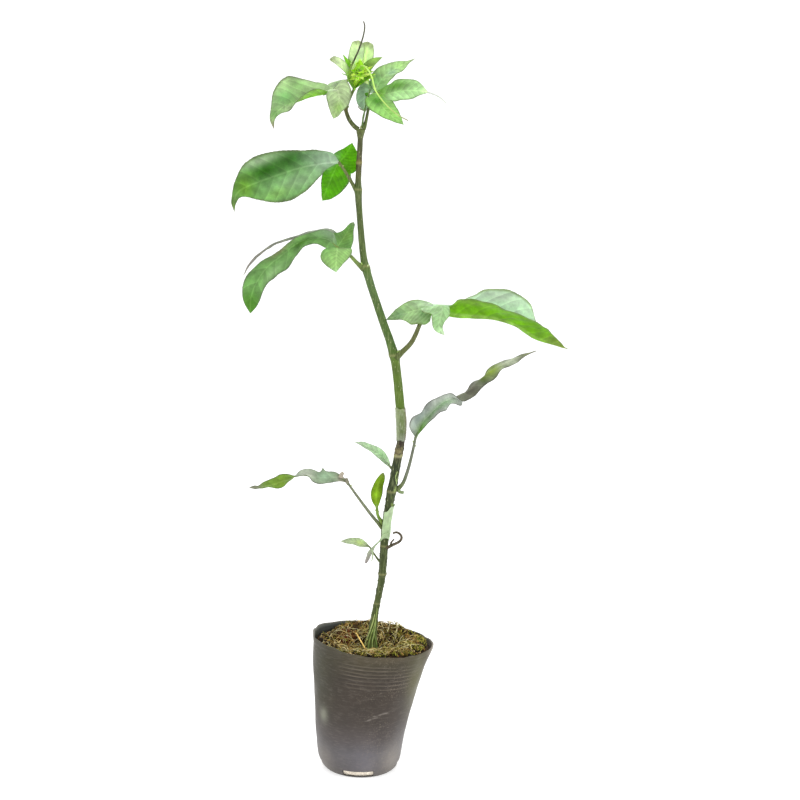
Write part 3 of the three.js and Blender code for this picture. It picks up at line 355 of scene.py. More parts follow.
# soft polyethylene nursery pot, drawn thin and handled: gives a hazy satin with dust, specks and scuffs
def potFinish():
    finish, add, tone, place = paintedFinish("softPolyethylenePot")
    cloud = add("TexNoise", {"Vector": place, "Scale": 42.0, "Detail": 6.0, "Roughness": 0.62})  # 24 mm haze
    haze = add("MapRange", [cloud, 0.35, 0.7, 0.84, 1.18])
    base = add("VectorMath", {0: tone, "Scale": haze}, operation="SCALE")
    drawn = add("Mapping", {"Vector": place, "Scale": (0.25, 0.25, 1.0)})
    # 1.5 mm scuffs round the wall
    scuff = add("TexNoise", {"Vector": drawn, "Scale": 700.0, "Detail": 3.0, "Roughness": 0.6})
    scuffShare = add("MapRange", [scuff, 0.5, 0.75, 0.0, 0.07])
    base = add("Mix", {0: scuffShare, 6: base, 7: colour("#b3a99f")}, 2, data_type="RGBA")
    # 1.2 mm specks of soil, in patches, more of them at the right
    dust = add("TexNoise", {"Vector": place, "Scale": 850.0, "Detail": 2.0, "Roughness": 0.7})
    patch = add("TexNoise", {"Vector": place, "Scale": 28.0, "Detail": 2.0})
    most = add("MapRange", [add("SeparateXYZ", [place]), -0.01, 0.02, 0.04, 0.34])
    reach = add("MapRange", [patch, 0.4, 0.6, 0.0, most])
    specks = add("MapRange", [dust, 0.56, 0.66, 0.0, reach])
    base = add("Mix", {0: specks, 6: base, 7: colour("#8f8474")}, 2, data_type="RGBA")
    rough = add("MapRange", [cloud, 0.3, 0.7, 0.36, 0.56])
    bump = add("Bump", {"Height": scuff, "Strength": 0.25, "Distance": 0.0003})
    add("OutputMaterial", [add("BsdfPrincipled", {
        "Base Color": base, "Roughness": rough, "IOR": 1.5, "Specular IOR Level": 0.25, "Normal": bump})])
    return finish


# stretched grafting film: clear polyethylene wound over the stem; gives a milky green with bright creases
def filmFinish():
    finish, add, tone, place = paintedFinish("stretchedGraftingFilm")
    drawn = add("Mapping", {"Vector": place, "Rotation": (0.0, 0.35, 0.0), "Scale": (1.0, 1.0, 0.2)})
    # 1.3 mm creases
    crease = add("TexNoise", {"Vector": drawn, "Scale": 750.0, "Detail": 4.0, "Roughness": 0.6, "Distortion": 0.6})
    milky = add("MapRange", [crease, 0.5, 0.74, 0.0, 0.35])
    base = add("Mix", {0: milky, 6: tone, 7: colour("#dfe8cf")}, 2, data_type="RGBA")
    bump = add("Bump", {"Height": crease, "Strength": 0.5, "Distance": 0.0004})
    film = add("BsdfPrincipled", {
        "Base Color": base, "Roughness": 0.3, "IOR": 1.51, "Coat Weight": 0.3, "Coat Roughness": 0.15, "Normal": bump})
    thin = add("BsdfTranslucent", {"Color": base})
    add("OutputMaterial", [add("MixShader", [0.25, film, thin])])
    return finish


waxyLeaf = leafFinish("waxyGreenLeaf", quilt=0.75)
greyLeaf = leafFinish("dullAgeingLeaf", shine=0.48, through=0.25, glow="#a8c46a", quilt=0.6)
freshLeaf = leafFinish("tenderYoungLeaf", shine=0.4, through=0.5, glow="#eaff8a", quilt=0.35)
stemSkin = stemFinish("youngGreenBark", "#a9b47c", "#b9bd8c")
stalkSkin = stemFinish("leafStalkSkin", "#a7bd7a", "#93a865", rough=0.45)
tendrilSkin = stemFinish("driedTendrilSkin", "#9c8f78", "#857a60", rough=0.6)
barkStuff = dryFinish("shreddedBarkMix")
fibreStuff = dryFinish("coirAndStrawFibre", rough=0.7, grain=1500.0, contrast=0.3)
mossStuff = dryFinish("livingMoss", rough=0.8, grain=1600.0, contrast=0.35)
potPlastic = potFinish()
graftFilm = filmFinish()
print("finishes made")

# pot: profile rows are height, radius, sideways drift of the middle
potSet = {
    "rows": [[0, 29.9, -1.1], [1.4, 31.3, -1.1], [4, 32.9, -1.3], [9, 34.4, -1.6], [16, 35.6, -1.7], [30, 37.3, -1.4],
        [60, 41.6, 0.6], [90, 46.3, 3.9], [102, 48.4, 5.5], [107, 48.9, 5.7]],
    "wall": 1.2, "rimHeight": 107, "rimSlope": 0.072, "oval": 0.09, "flat": 3.2, "sides": 192,
    "slots": {"count": 4, "half": 12},
    "ribs": [[79.6, 0.7], [82.6, 0.9], [86.2, 0.7], [89.2, 1], [92.4, 0.7], [95.2, 0.9], [98.6, 0.6]], "ribRise": 0.24,
    "ringShadowTone": "#241f18", "ringHighlightTone": "#8f8375", "dent": 0.55,
    "tones": [[0, "#57524c"], [8, "#585454"], [22, "#545153"], [34, "#4b4544"], [50, "#3e3732"], [66, "#3a322b"],
        [85, "#383028"], [100, "#3b3526"], [107, "#3f3828"]],
    # inside the pot: painted shade, darker further down, and painted sheen, paler up to the rim
    "inner": [[92, "#23221e"], [102, "#31322e"], [107, "#474a47"], [109, "#6a6e6b"], [111, "#8f938f"]],
    "lip": "#4b4735",
    "smudgesAndLitPatches": [
        {"at": [-31, -26, 51.5], "reach": [3.2, 12, 6], "tone": "#9fa18e", "share": 0.7},
        {"at": [2, -38, 14], "reach": [14, 20, 14], "tone": "#6d6a70", "share": 0.6},
        {"at": [26, -24, 14], "reach": [9, 20, 14], "tone": "#8b857e", "share": 0.6},
        {"at": [-30, -20, 12], "reach": [7, 20, 12], "tone": "#77716a", "share": 0.6},
        {"at": [-36, -20, 84], "reach": [15, 28, 38], "tone": "#2a2914", "share": 0.95},
        {"at": [44, -20, 74], "reach": [8, 30, 30], "tone": "#5c5a34", "share": 0.75},
        {"at": [22, -46, 104], "reach": [24, 20, 3], "tone": "#4f4636", "share": 0.6},
        # painted light: these two pale patches light the inner wall at the right corner
        {"at": [53, -4, 103], "reach": [5, 9, 3], "tone": "#a0968a", "share": 0.8},
        {"at": [49, 5, 99], "reach": [5, 12, 5], "tone": "#8d8474", "share": 0.8},
        {"at": [-43, -4, 109], "reach": [4, 9, 3], "tone": "#85827a", "share": 0.7},
    ],
    "scratchTone": "#b9b0a6",
    "scratches": [{"at": [15, 0, 57.4], "slope": 0.16, "long": 8, "share": 0.3},
        {"at": [8, 0, 53.8], "slope": 0.3, "long": 5, "share": 0.3}],
}


# column k of the rows, read at h by straight blends
def rowAt(rows, h, k):
    rows = np.array(rows, float)
    return np.interp(h, rows[:, 0], rows[:, k])


# pot wall: drift + r cos, r sin less a squeeze and a flattened back right towards the rim, and a height let down by
# slump r cos at the right
def potPoint(h, turn, outward):
    r, drift = rowAt(potSet["rows"], h, 1) + outward, rowAt(potSet["rows"], h, 2)
    slump = potSet["rimSlope"] * np.clip((h - 30) / (potSet["rimHeight"] - 30), 0, None)
    squeeze = 1 - potSet["oval"] * ease(h, 50, potSet["rimHeight"])
    r = r - potSet["flat"] * bell(turnFrom(turn, 0.8), 0.42) * ease(h, 50, potSet["rimHeight"])
    return np.stack([drift + r * np.cos(turn), r * np.sin(turn) * squeeze, h - slump * r * np.cos(turn)], -1)


def makePot():
    s = potSet
    turn = circle(s["sides"])
    steps = ((7.4, 50, 1.3), (50.2, 62, 0.6), (63, 77.4, 1.3), (78, 102, 0.4), (102.4, 106.6, 0.8))
    heights = np.concatenate([[0, 0.5, 0.9, 1.1, 3.6, 6.2], *(np.arange(*step) for step in steps), [107]])
    top = len(heights) - 1
    lip = [[107.5, 0.55], [107.7, 0.1], [107.5, -0.5]]  # rolled edge, from outside to inside
    inward = heights[2:][::-1]
    h = np.concatenate([heights, [row[0] for row in lip], inward])
    bead = 0.4 * ease(heights, 103.2, 104.6)
    outward = np.concatenate([bead, [row[1] for row in lip], np.where(inward > 103, -0.9, -s["wall"])])
    H, A = np.meshgrid(h, turn, indexing="ij")
    flat = np.stack([45 * np.cos(A), 45 * np.sin(A), H], -1).reshape(-1, 3)
    # moulded rings, soft dents, and a rim that wanders in and out
    fade = 0.06 + 0.94 * ease(np.cos(2 * A + 2.7), -0.15, 0.5)
    fade = fade * (0.75 + 0.4 * ripple(flat * vec(1, 1, 0.5), 14, 4, 2).reshape(H.shape))
    line = lambda at, drop: bell(H + drop + 0.25 * np.sin(2 * A + at) - at, 0.45)
    ring = lambda drop: fade * sum(share * line(at, drop) for at, share in s["ribs"])
    rings, ringShadows = ring(0), ring(1.1)
    dents = s["dent"] * ripple(flat, 46, 3, 2).reshape(H.shape) * ease(H, 3, 20) * (1 - 0.4 * ease(H, 96, 107))
    wander = ease(H, 84, 107) * (0.55 * np.sin(3 * A + 1) + 0.4 * np.sin(7 * A + 2) + 0.22 * np.sin(15 * A))
    corner = 0.9 * bell(turnFrom(A, -0.1), 0.24) * ease(H, 84, 107) ** 2  # squeezed corner at the right
    points = potPoint(H, A, outward[:, None] + s["ribRise"] * rings + dents + wander + corner)
    frayed = 0.55 * np.sin(2 * A + 0.5) + 0.4 * np.sin(9 * A) * np.sin(4 * A + 1)
    frayed = frayed + 0.3 * np.sin(23 * A + 2) * ease(np.sin(5 * A), 0, 1)
    points[..., 2] += ease(H, 101, 107) * frayed
    # openings at the foot: the faces between the two heights are left out on both sides, and their edges are walled
    keep = np.ones((len(h) - 1, s["sides"]), bool)
    low, high = 3, 5
    mate = lambda k: 2 * top + 1 + len(lip) - k
    walls = []
    n = s["sides"]
    for k in range(s["slots"]["count"]):
        middle = int(n * (0.75 + k / s["slots"]["count"]))
        cols = (middle + np.arange(-s["slots"]["half"], s["slots"]["half"])) % n
        nextCols = (cols + 1) % n
        keep[low:high, cols] = False
        keep[mate(high):mate(low), cols] = False
        at = lambda row, col: row * n + col
        walls += quads(at(low, cols), at(low, nextCols), at(mate(low), nextCols), at(mate(low), cols))
        walls += quads(at(high, nextCols), at(high, cols), at(mate(high), cols), at(mate(high), nextCols))
        first, last = np.full(high - low, cols[0]), np.full(high - low, nextCols[-1])
        rows = np.arange(low, high)
        walls += quads(at(rows + 1, first), at(rows, first), at(mate(rows), first), at(mate(rows + 1), first))
        walls += quads(at(rows, last), at(rows + 1, last), at(mate(rows + 1), last), at(mate(rows), last))
    verts, tris = skin(points, keep=keep)
    tris = np.concatenate([tris, *walls])
    tones = toneAlong(s["tones"], verts[:, 2])
    outside = np.arange(len(verts)) < top * n
    # ring crests get a painted highlight, and a band just below each ring gets a painted shadow
    tones = mixTones(tones, linear(s["ringHighlightTone"]), 0.34 * np.append(rings.ravel(), [0, 0]) * outside)
    tones = mixTones(tones, linear(s["ringShadowTone"]), 0.6 * np.append(ringShadows.ravel(), [0, 0]) * outside)
    # inside the pot the tone darkens downwards as painted shade and pales towards the rim as painted sheen
    inside = np.zeros(len(verts))
    inside[(top + 3) * n:-2] = 1
    inside[-1] = 1
    tones = mixTones(tones, toneAlong(s["inner"], verts[:, 2]), inside)
    rimShare = np.zeros(len(verts))
    rimShare[(top - 1) * n:(top + 5) * n] = 0.6 * (0.4 + 0.6 * np.tile(ease(-np.cos(turn), -0.3, 0.6), 6))
    tones = mixTones(tones, linear(s["lip"]), rimShare)
    # smudges, and patches of painted light, each a bell round its place
    for smudgeOrLitPatch in s["smudgesAndLitPatches"]:
        near = np.exp(-(((verts - smudgeOrLitPatch["at"]) / smudgeOrLitPatch["reach"]) ** 2).sum(1))
        tones = mixTones(tones, linear(smudgeOrLitPatch["tone"]), smudgeOrLitPatch["share"] * near)
    for scratch in s["scratches"]:
        x, y, z = (verts - scratch["at"]).T
        near = bell(z - scratch["slope"] * x, 0.6) * np.exp(-((x / scratch["long"]) ** 4)) * (y < 0)
        broken = ease(ripple(verts, 3, 6, 2), -0.5, 0.3)
        tones = mixTones(tones, linear(s["scratchTone"]), scratch["share"] * near * broken)
    makePiece("potShell", verts, tris, tones, ["pot"], "pot_plastic", potPlastic)


makePot()
print("pot made")

# growing mix: bark, coir and moss heaped higher at the back and lower at the left
mixSet = {
    "inset": 1.5, "pad": [5.7, 0.0], "padRadius": 7.5, "ground": 97.0, "mouth": 48, "sides": 160, "rings": 62,
    "rises": [[7.5, 5, 36], [13, -2, 28], [6, 12, 42], [5.5, 5, 36]],
    "body": ["#20170d", "#3a2915", "#171009", "#4a3519"],
    "crumbs": 1600, "crumbTones": ["#34230f", "#533a1c", "#7d5a2a", "#1e150c", "#a68244", "#432a12", "#d0b67e",
        "#241a10", "#6b5c24", "#35331a"],
    "fibres": 1050, "fibreTones": ["#b8964a", "#8a7032", "#dcc078", "#5e481f", "#f2e6b0", "#a39a4e", "#d8cd8a"],
    "sprigs": 1700, "mossTones": ["#8b8c2c", "#aaa83e", "#63661f", "#ccc25c", "#484b18"],
    "rust": {"at": [-16.7, 11.2], "reach": 7, "tone": "#5f2610"},
    "roots": "#fff4e2",
}


# how far a place is from the middle of the stem's foot, seen from above
def fromStem(x, y):
    return np.hypot(x - mixSet["pad"][0], y - mixSet["pad"][1])


# heap height: low round the foot of the stem, rising to the wall in front, behind, right and left by the fourth-power
# mean of four soft steps, with lumps, and kept below the rim at the wall
def heap(x, y):
    lumps = 1.1 * np.sin(x / 6 + 1) * np.cos(y / 7) + 0.7 * np.sin(y / 4.5 + x / 9)
    sides = [rise * ease(v, low, high) for (rise, low, high), v in zip(mixSet["rises"], (-y, y, x, -x))]
    sides[1] = sides[1] * (1 - 0.5 * ease(-x, 12, 34))  # the back left stays low
    across = x - mixSet["pad"][0]
    inside = mixSet["mouth"] - np.hypot(across, y / (1 - potSet["oval"]))
    brim = potSet["rimHeight"] - 1.8 - potSet["rimSlope"] * across + 0.55 * np.maximum(inside, 0)
    top = np.minimum(98.5 + sum(v ** 4 for v in sides) ** 0.25 + lumps, brim)
    top = top - 0.8 - 1.8 * ease(y, 8, 30)  # the loose pieces on it fill this up again
    near = ease(fromStem(x, y), mixSet["padRadius"] - 2, mixSet["padRadius"] + 6)
    return mixSet["ground"] + 0.4 + (top - mixSet["ground"] - 0.4) * near


# the edge of the heap: the height on the wall where it meets the heap, found in a few passes
def brimRing(turn):
    h = np.full(len(turn), 98.0)
    for k in range(8):
        p = potPoint(h, turn, -mixSet["inset"])
        h += heap(p[:, 0], p[:, 1]) - p[:, 2]
    return potPoint(h, turn, -mixSet["inset"])


# places on the heap, from the foot of the stem, share 0, out to the heap's edge, share 1
def onHeap(brim, share):
    x, y = (mixSet["pad"][k] + (brim[..., k] - mixSet["pad"][k]) * share for k in (0, 1))
    return np.stack([x, y, heap(x, y)], -1)


# share of rust-red mix: a bell round the middle of its patch
def rustShare(points):
    return bell(np.hypot(*(points[:, :2] - mixSet["rust"]["at"]).T), mixSet["rust"]["reach"])


def makeMix():
    s = mixSet
    turn = circle(s["sides"])
    heights = [1.1, 2, 3, 4.2, 5.4, 6.6, 8, 14, 24, 36, 48, 60, 72, 82, 90, 94]
    wallRings = np.stack([potPoint(np.full(s["sides"], float(h)), turn, -s["inset"] - 0.1) for h in heights])
    brim = brimRing(turn)
    share = np.linspace(1, 0.03, s["rings"])[:, None]
    top = onHeap(brim, share)
    flat = top.reshape(-1, 3)
    crumbly = (0.9 * ripple(flat, 9, 11, 3) + 0.7 * np.abs(ripple(flat, 4, 12, 2))).reshape(top.shape[:2])
    top[..., 2] += crumbly * ease(fromStem(top[..., 0], top[..., 1]), 4, 9) * (1 - 0.6 * ease(share, 0.93, 1.0))
    verts, tris = skin(np.concatenate([wallRings, top]))
    pick = 0.5 + 0.5 * ripple(verts, 7, 21, 2)
    tones = toneAlong([[k / 3, t] for k, t in enumerate(s["body"])], np.clip(pick, 0, 1))
    tones = mixTones(tones, linear(s["rust"]["tone"]), rustShare(verts))
    atFoot = (0.8 + 0.2 * ripple(verts, 3, 5, 2)) * (verts[:, 2] < 7.6)
    tones = mixTones(tones, linear(s["roots"]), atFoot)  # root ends show in the openings
    makePiece("mixBody", verts, tris, tones, ["growing_medium"], "growing_mix", barkStuff)


# seeded places on the heap, even over its disc, clear of the stem
def heapPlaces(rng, count, spread):
    turn, share = rng.uniform(0, 2 * np.pi, count), np.sqrt(rng.uniform(0.012, spread ** 2, count))
    return onHeap(brimRing(turn), share)


# angular crumb: twelve corners of an icosahedron pushed in and out
def crumbShape(rng):
    g = (1 + 5 ** 0.5) / 2
    flat = vec(-1, g, 0, 1, g, 0, -1, -g, 0, 1, -g, 0).reshape(-1, 3)
    corners = np.concatenate([flat, np.roll(flat, 1, axis=1), np.roll(flat, 2, axis=1)])
    faces = [
        0, 11, 5, 0, 5, 1, 0, 1, 7, 0, 7, 10, 0, 10, 11, 1, 5, 9, 5, 11, 4, 11, 10, 2, 10, 7, 6, 7, 1, 8,
        3, 9, 4, 3, 4, 2, 3, 2, 6, 3, 6, 8, 3, 8, 9, 4, 9, 5, 2, 4, 11, 6, 2, 10, 8, 6, 7, 9, 8, 1,
    ]
    return unit(corners) * rng.uniform(0.7, 1.15, (12, 1)), np.array(faces).reshape(-1, 3)


def makeCrumbs():
    s, rng = mixSet, np.random.default_rng(31)
    bodies = []
    tones = linear(*s["crumbTones"])
    for k in range(6):
        count = s["crumbs"] // 6
        shape, faces = crumbShape(rng)
        places = heapPlaces(rng, count, 0.95)
        size = rng.uniform(0.7, 1.0, count) * rng.choice([1.0, 1.6, 2.5], count, p=[0.55, 0.32, 0.13])
        scales = size[:, None] * np.array([1.25, 0.85, 0.5]) * rng.uniform(0.7, 1.3, (count, 3))
        places[:, 2] += rng.uniform(0.2, 1.5, count)
        clear = fromStem(places[:, 0], places[:, 1]) > 5.4
        shades = tones[rng.integers(0, len(tones), count)] * rng.uniform(0.45, 1.05, (count, 1))
        shades = mixTones(shades, linear(s["rust"]["tone"]), 0.85 * rustShare(places))
        bodies.append(dealOut(shape, faces, places[clear], anyTurns(rng, count)[clear], scales[clear], shades[clear]))
    makePiece("barkCrumbs", *gather(bodies), [], "growing_mix", barkStuff)


# fibres: each a three-sided thread on an arc, place + way*t + lift*4t(1-t), all in one array
def threads(places, ways, lifts, radii, tones, rows=7):
    t = np.linspace(0, 1, rows)[None, :, None]
    path = places[:, None] + ways[:, None] * t + lifts[:, None] * 4 * t * (1 - t)
    tangent = unit(np.gradient(path, axis=1))
    side = unit(np.cross(tangent, vec(0.2, 0.3, 1.0)))
    other = np.cross(tangent, side)
    taper = (1 - 0.65 * np.abs(2 * t - 1) ** 2) * radii[:, None, None]
    corner = circle(3)[:, None]
    out = side[:, :, None] * np.cos(corner) + other[:, :, None] * np.sin(corner)
    rings = path[:, :, None] + out * taper[..., None]
    ends = np.stack([rings[:, 0].mean(1), rings[:, -1].mean(1)], 1)
    points = np.concatenate([rings.reshape(len(places), -1, 3), ends], 1)
    return copies(points, skin(rings[0])[1], tones)


def makeFibres():
    s, rng = mixSet, np.random.default_rng(37)
    count = s["fibres"]
    places = heapPlaces(rng, count, 0.93)
    turn = rng.uniform(0, 2 * np.pi, count)
    length = rng.uniform(4, 12, count) * rng.choice([1, 1.7], count, p=[0.8, 0.2])
    ways = np.column_stack([np.cos(turn), np.sin(turn), rng.normal(0.05, 0.18, count)]) * length[:, None]
    ends = places + ways
    ways[:, 2] = heap(ends[:, 0], ends[:, 1]) - places[:, 2] + rng.uniform(-0.5, 2.2, count)
    reach = fromStem(ends[:, 0], ends[:, 1])
    inPot = (reach < 41) & (reach > 5) & (fromStem(places[:, 0], places[:, 1]) > 5)
    places[:, 2] += rng.uniform(0.4, 1.8, count)
    lifts = rng.normal(0, 1.1, (count, 3)) + vec(0, 0, 1.2)
    tones = linear(*s["fibreTones"])[rng.integers(0, len(s["fibreTones"]), count)] * rng.uniform(0.6, 1.1, (count, 1))
    radii = rng.uniform(0.13, 0.27, count)
    fibres = threads(places[inPot], ways[inPot], lifts[inPot], radii[inPot], tones[inPot])
    makePiece("coirFibres", *fibres, [], "growing_mix", fibreStuff)


# moss: short pointed sprigs standing on the right and in a few patches
def makeMoss():
    s, rng = mixSet, np.random.default_rng(41)
    places = heapPlaces(rng, s["sprigs"] * 3, 0.95)
    x, y = places[:, 0], places[:, 1]
    like = 0.15 + 0.75 * ease(x, 10, 26) * (1 - 0.5 * ease(y, 15, 35)) + 0.45 * ease(-y, 6, 16)
    chosen = rng.uniform(0, 1, len(places)) < like * ease(ripple(places, 13, 8, 2), -0.35, 0.25)
    chosen &= fromStem(x, y) > 5.5
    places = places[chosen][: s["sprigs"]]
    count = len(places)
    ways = rng.normal(0, 1.0, (count, 3)) * vec(1, 1, 0.25) + vec(0, 0, 1.6)
    ways *= rng.uniform(0.8, 1.5, (count, 1))
    tones = linear(*s["mossTones"])[rng.integers(0, len(s["mossTones"]), count)] * rng.uniform(0.75, 1.25, (count, 1))
    lifts, radii = rng.normal(0, 0.4, (count, 3)), rng.uniform(0.22, 0.4, count)
    sprigs = threads(places + vec(0, 0, 0.6), ways, lifts, radii, tones, rows=4)
    makePiece("mossSprigs", *sprigs, [], "growing_mix", mossStuff)


# straws: flat ribbons laid on the heap or leaning on the foot of the stem; the third number counts up from the heap, or
# from the floor for a free one
strawSet = [
    {"places": [[-7.8, 10.4, 108.2], [-2.5, -8, 106.5], [2.9, -26, 104.4]], "wide": 0.5, "tone": "#e9c56c",
     "free": True},
    {"places": [[-0.5, -17, 100.6], [4, -18, 101.4], [9, -17.4, 102.2], [14.5, -15.5, 102.2]], "wide": 0.5,
     "tone": "#ddd48c", "free": True},
    {"places": [[-6, -13, 101.2], [2, -15, 102.8], [10, -13.4, 103.2]], "wide": 0.4, "tone": "#d3ca78", "free": True},
    {"places": [[-0.5, -4.6, 0.2], [0.8, -4.9, 8.6], [3.6, -4.5, 16.6], [6, -3.9, 24.6], [7.4, -3.5, 31.6]],
     "wide": 0.5, "tone": "#a9b872"},
    {"places": [[2.8, -5.4, 0], [3.3, -5.1, 6.6], [5, -4.5, 14.6], [7.6, -4.0, 23.6], [9.4, -3.4, 36.6]], "wide": 0.4,
     "tone": "#94a85c"},
    {"places": [[10.8, -3.4, 0.2], [9.8, -3.8, 6.6], [8.2, -4.1, 12.6], [6.8, -4.3, 18.6]], "wide": 0.4,
     "tone": "#7f9a52"},
    {"places": [[6.8, -5, 0.2], [6.2, -5, 8], [7.6, -4.4, 17], [8.6, -3.8, 26]], "wide": 0.35, "tone": "#9fb46c"},
    {"places": [[36, -4, 1.4], [33, 2, 2.6], [31, 9, 1.8]], "wide": 0.5, "tone": "#d3c57c"},
    {"places": [[-26, -6, 1.4], [-22, 2, 2.4], [-20, 9, 1.8]], "wide": 0.5, "tone": "#d6c68c"},
    {"places": [[22, -16, 1.4], [30, -12, 2.2], [38, -4, 1.4]], "wide": 0.5, "tone": "#cdc27a"},
    {"places": [[18, 16, 1.6], [20, 24, 3], [17, 33, 4.4]], "wide": 0.45, "tone": "#d9cfa0"},
    {"places": [[24, 8, 1.4], [26, 18, 2.6], [25, 30, 4.6]], "wide": 0.4, "tone": "#cfc391"},
]


# a ribbon: a flat oval carried along its path
def ribbon(path, wide, thick, facing=vec(0, -1, 0.25)):
    tangent = unit(np.gradient(path, axis=0))
    taper = np.sin(np.pi * np.linspace(0.12, 0.9, len(path)))[:, None] ** 0.6
    return skin(ovals(path, tangent, unit(np.cross(tangent, facing)), circle(10), wide * taper, thick * taper))


def makeStraws():
    bodies = []
    for straw in strawSet:
        path = through(straw["places"], 26)
        path[:, 2] += 0 if straw.get("free") else heap(path[:, 0], path[:, 1])
        points, tris = ribbon(path, straw["wide"], 0.26)
        bodies.append((points, tris, uneven(linear(straw["tone"]), 0.25, points, 6, 51)))
    makePiece("dryStraws", *gather(bodies), [], "growing_mix", fibreStuff)


makeMix()
makeCrumbs()
makeFibres()
makeMoss()
makeStraws()
print("growing mix made")

# stem: height, sideways place, radius; the rootstock below the graft is dark, the scion above it is lighter
stemSet = {
    "rows": [
        [97, 5.7, 4.4], [101, 5.8, 3.9], [109, 6, 3.6], [120, 6.6, 3.3], [130, 7.7, 2.8], [140, 9.3, 2.55],
        [150, 11, 2.75], [160, 12.3, 3], [174, 12.9, 3.25], [191, 13.3, 3.4], [207, 14.4, 3.4], [221, 16.2, 3.5],
        [232, 17.8, 3.75], [242, 19.3, 3.5], [257, 21.4, 3.4], [261, 22, 3.5], [267, 23, 3.4], [270, 23.4, 3.1],
        [276, 23.9, 3.3], [290, 23.4, 3.6], [306, 21.5, 3.6], [322, 19.4, 3.5], [334, 17.6, 3.5], [341, 16.3, 3.75],
        [354, 11.8, 3.25], [365, 7.4, 3.15], [377, 2.9, 3.1], [393, -3, 3], [407, -7.8, 3.2], [411, -9, 3.15],
        [418, -10.5, 2.75], [432, -12.5, 2.55], [451, -14.6, 2.4], [465, -16, 2.6], [471, -16.4, 2.55],
        [478, -16.5, 2.25], [493, -16.2, 2.15], [508, -15.9, 2], [520, -15.7, 2],
    ],
    "swells": [[163, 0.25, 2], [232, 0.3, 4], [341, 0.35, 3.5], [410, 0.4, 3], [470, 0.45, 3], [491, 0.2, 2.5]],
    "fork": {"from": 508, "to": 516.5, "radius": 2.3, "spread": 1.5},
    "scars": [[125, 0.16, 0.7], [138, 0.28, 0.8], [163, 0.3, 0.8], [186, 0.2, 0.8], [232, 0.22, 0.9], [261, 0.3, 1.0],
        [341.5, 0.28, 0.9], [411, 0.3, 0.9], [471, 0.28, 0.8], [491, 0.2, 0.7]],
    "cork": [262, 269.5],
    "tones": [
        [97, "#5a6a2e"], [112, "#56642e"], [128, "#4a5626"], [150, "#404c20"], [200, "#37431a"], [238, "#283412"],
        [254, "#273215"], [259.2, "#38391f"], [260.4, "#8f8a68"], [261.8, "#8a8260"], [262.8, "#5a4a2e"],
        [266, "#6b603e"], [269.4, "#463624"], [270.4, "#33281c"], [273.6, "#30261b"], [275, "#5b6c34"],
        [285, "#556726"], [300, "#536d1d"], [335, "#566e22"], [350, "#405f1e"], [365, "#4a6529"], [385, "#49652b"],
        [400, "#4d6834"], [409, "#4a6521"], [415, "#50652f"], [440, "#4d5d2d"], [465, "#475627"], [472, "#41561b"],
        [480, "#4c5228"], [489, "#4e4a2a"], [491.5, "#7f7240"], [494, "#4c4a2c"], [508, "#4e5230"], [518, "#5c6634"],
    ],
    "scarTone": "#8f8d5c", "corkTone": "#746a48", "darkCorkTone": "#2f281c", "streakTone": "#7f9648",
}


# places on the stem as if it were one even round, so that a pattern on it doesn't stretch with its width
def evenRound(turn, h):
    return np.stack([4 * np.cos(turn), 4 * np.sin(turn), h], -1).reshape(-1, 3)


# share of cork at a height: one between the cork's two ends, each a soft step of 2 mm
def corkShare(h):
    low, high = stemSet["cork"]
    return ease(h, low - 1, low + 1) * (1 - ease(h, high - 1, high + 1))


# the stem's middle line and radius, smoothed over a few millimetres
def stemLine(h):
    near = np.array([-3.0, -1.5, 0.0, 1.5, 3.0])
    x = np.mean([rowAt(stemSet["rows"], h + d, 1) for d in near], axis=0)
    r = np.mean([rowAt(stemSet["rows"], h + d * 0.4, 2) for d in near], axis=0)
    return x, r


# stem surface: a round of radius r about its line, wider by nodes, scars, cork and toes at its foot
def stemPoint(h, turn, grow=0.0, relief=True):
    s = stemSet
    x, r = stemLine(h)
    slope = (stemLine(h + 4)[0] - stemLine(h - 4)[0]) / 8
    for at, rise, reach in s["swells"]:
        r = r + rise * bell(h - at, reach)
    fork = ease(h, s["fork"]["from"], s["fork"]["to"])
    r = r + (s["fork"]["radius"] - r) * fork
    r = r + 0.9 * np.exp(-(h - 97) / 4) * (0.6 + np.cos(3 * turn + 0.7)) + grow
    if relief:
        flat = evenRound(turn, h)
        for at, rise, reach in s["scars"]:
            lean = 0.5 * np.sin(turn + at)
            r = r + rise * bell(h - at - lean, reach) * (0.7 + 0.3 * np.sin(2 * turn + at))
        r = r + corkShare(h) * (0.4 * ripple(flat, 3.2, 61, 3) + 0.1).reshape(h.shape)
        r = r + (0.10 * ripple(flat * vec(1, 1, 0.3), 2.6, 62, 3)).reshape(h.shape)
        old = 1 - ease(h, 250, 262)
        r = r + old * 0.35 * ease(ripple(flat, 4.5, 63, 2), 0.42, 0.75).reshape(h.shape)  # raised pores
        r = r + (1 - old) * 0.07 * np.cos(5 * turn + h / 45)
    depth = 1.5 * np.sin(h / 47) * (1 - fork)
    stretch = np.hypot(1, slope) * (1 + (s["fork"]["spread"] - 1) * fork)
    return np.stack([x + r * np.cos(turn) * stretch, depth + r * np.sin(turn), h], -1)


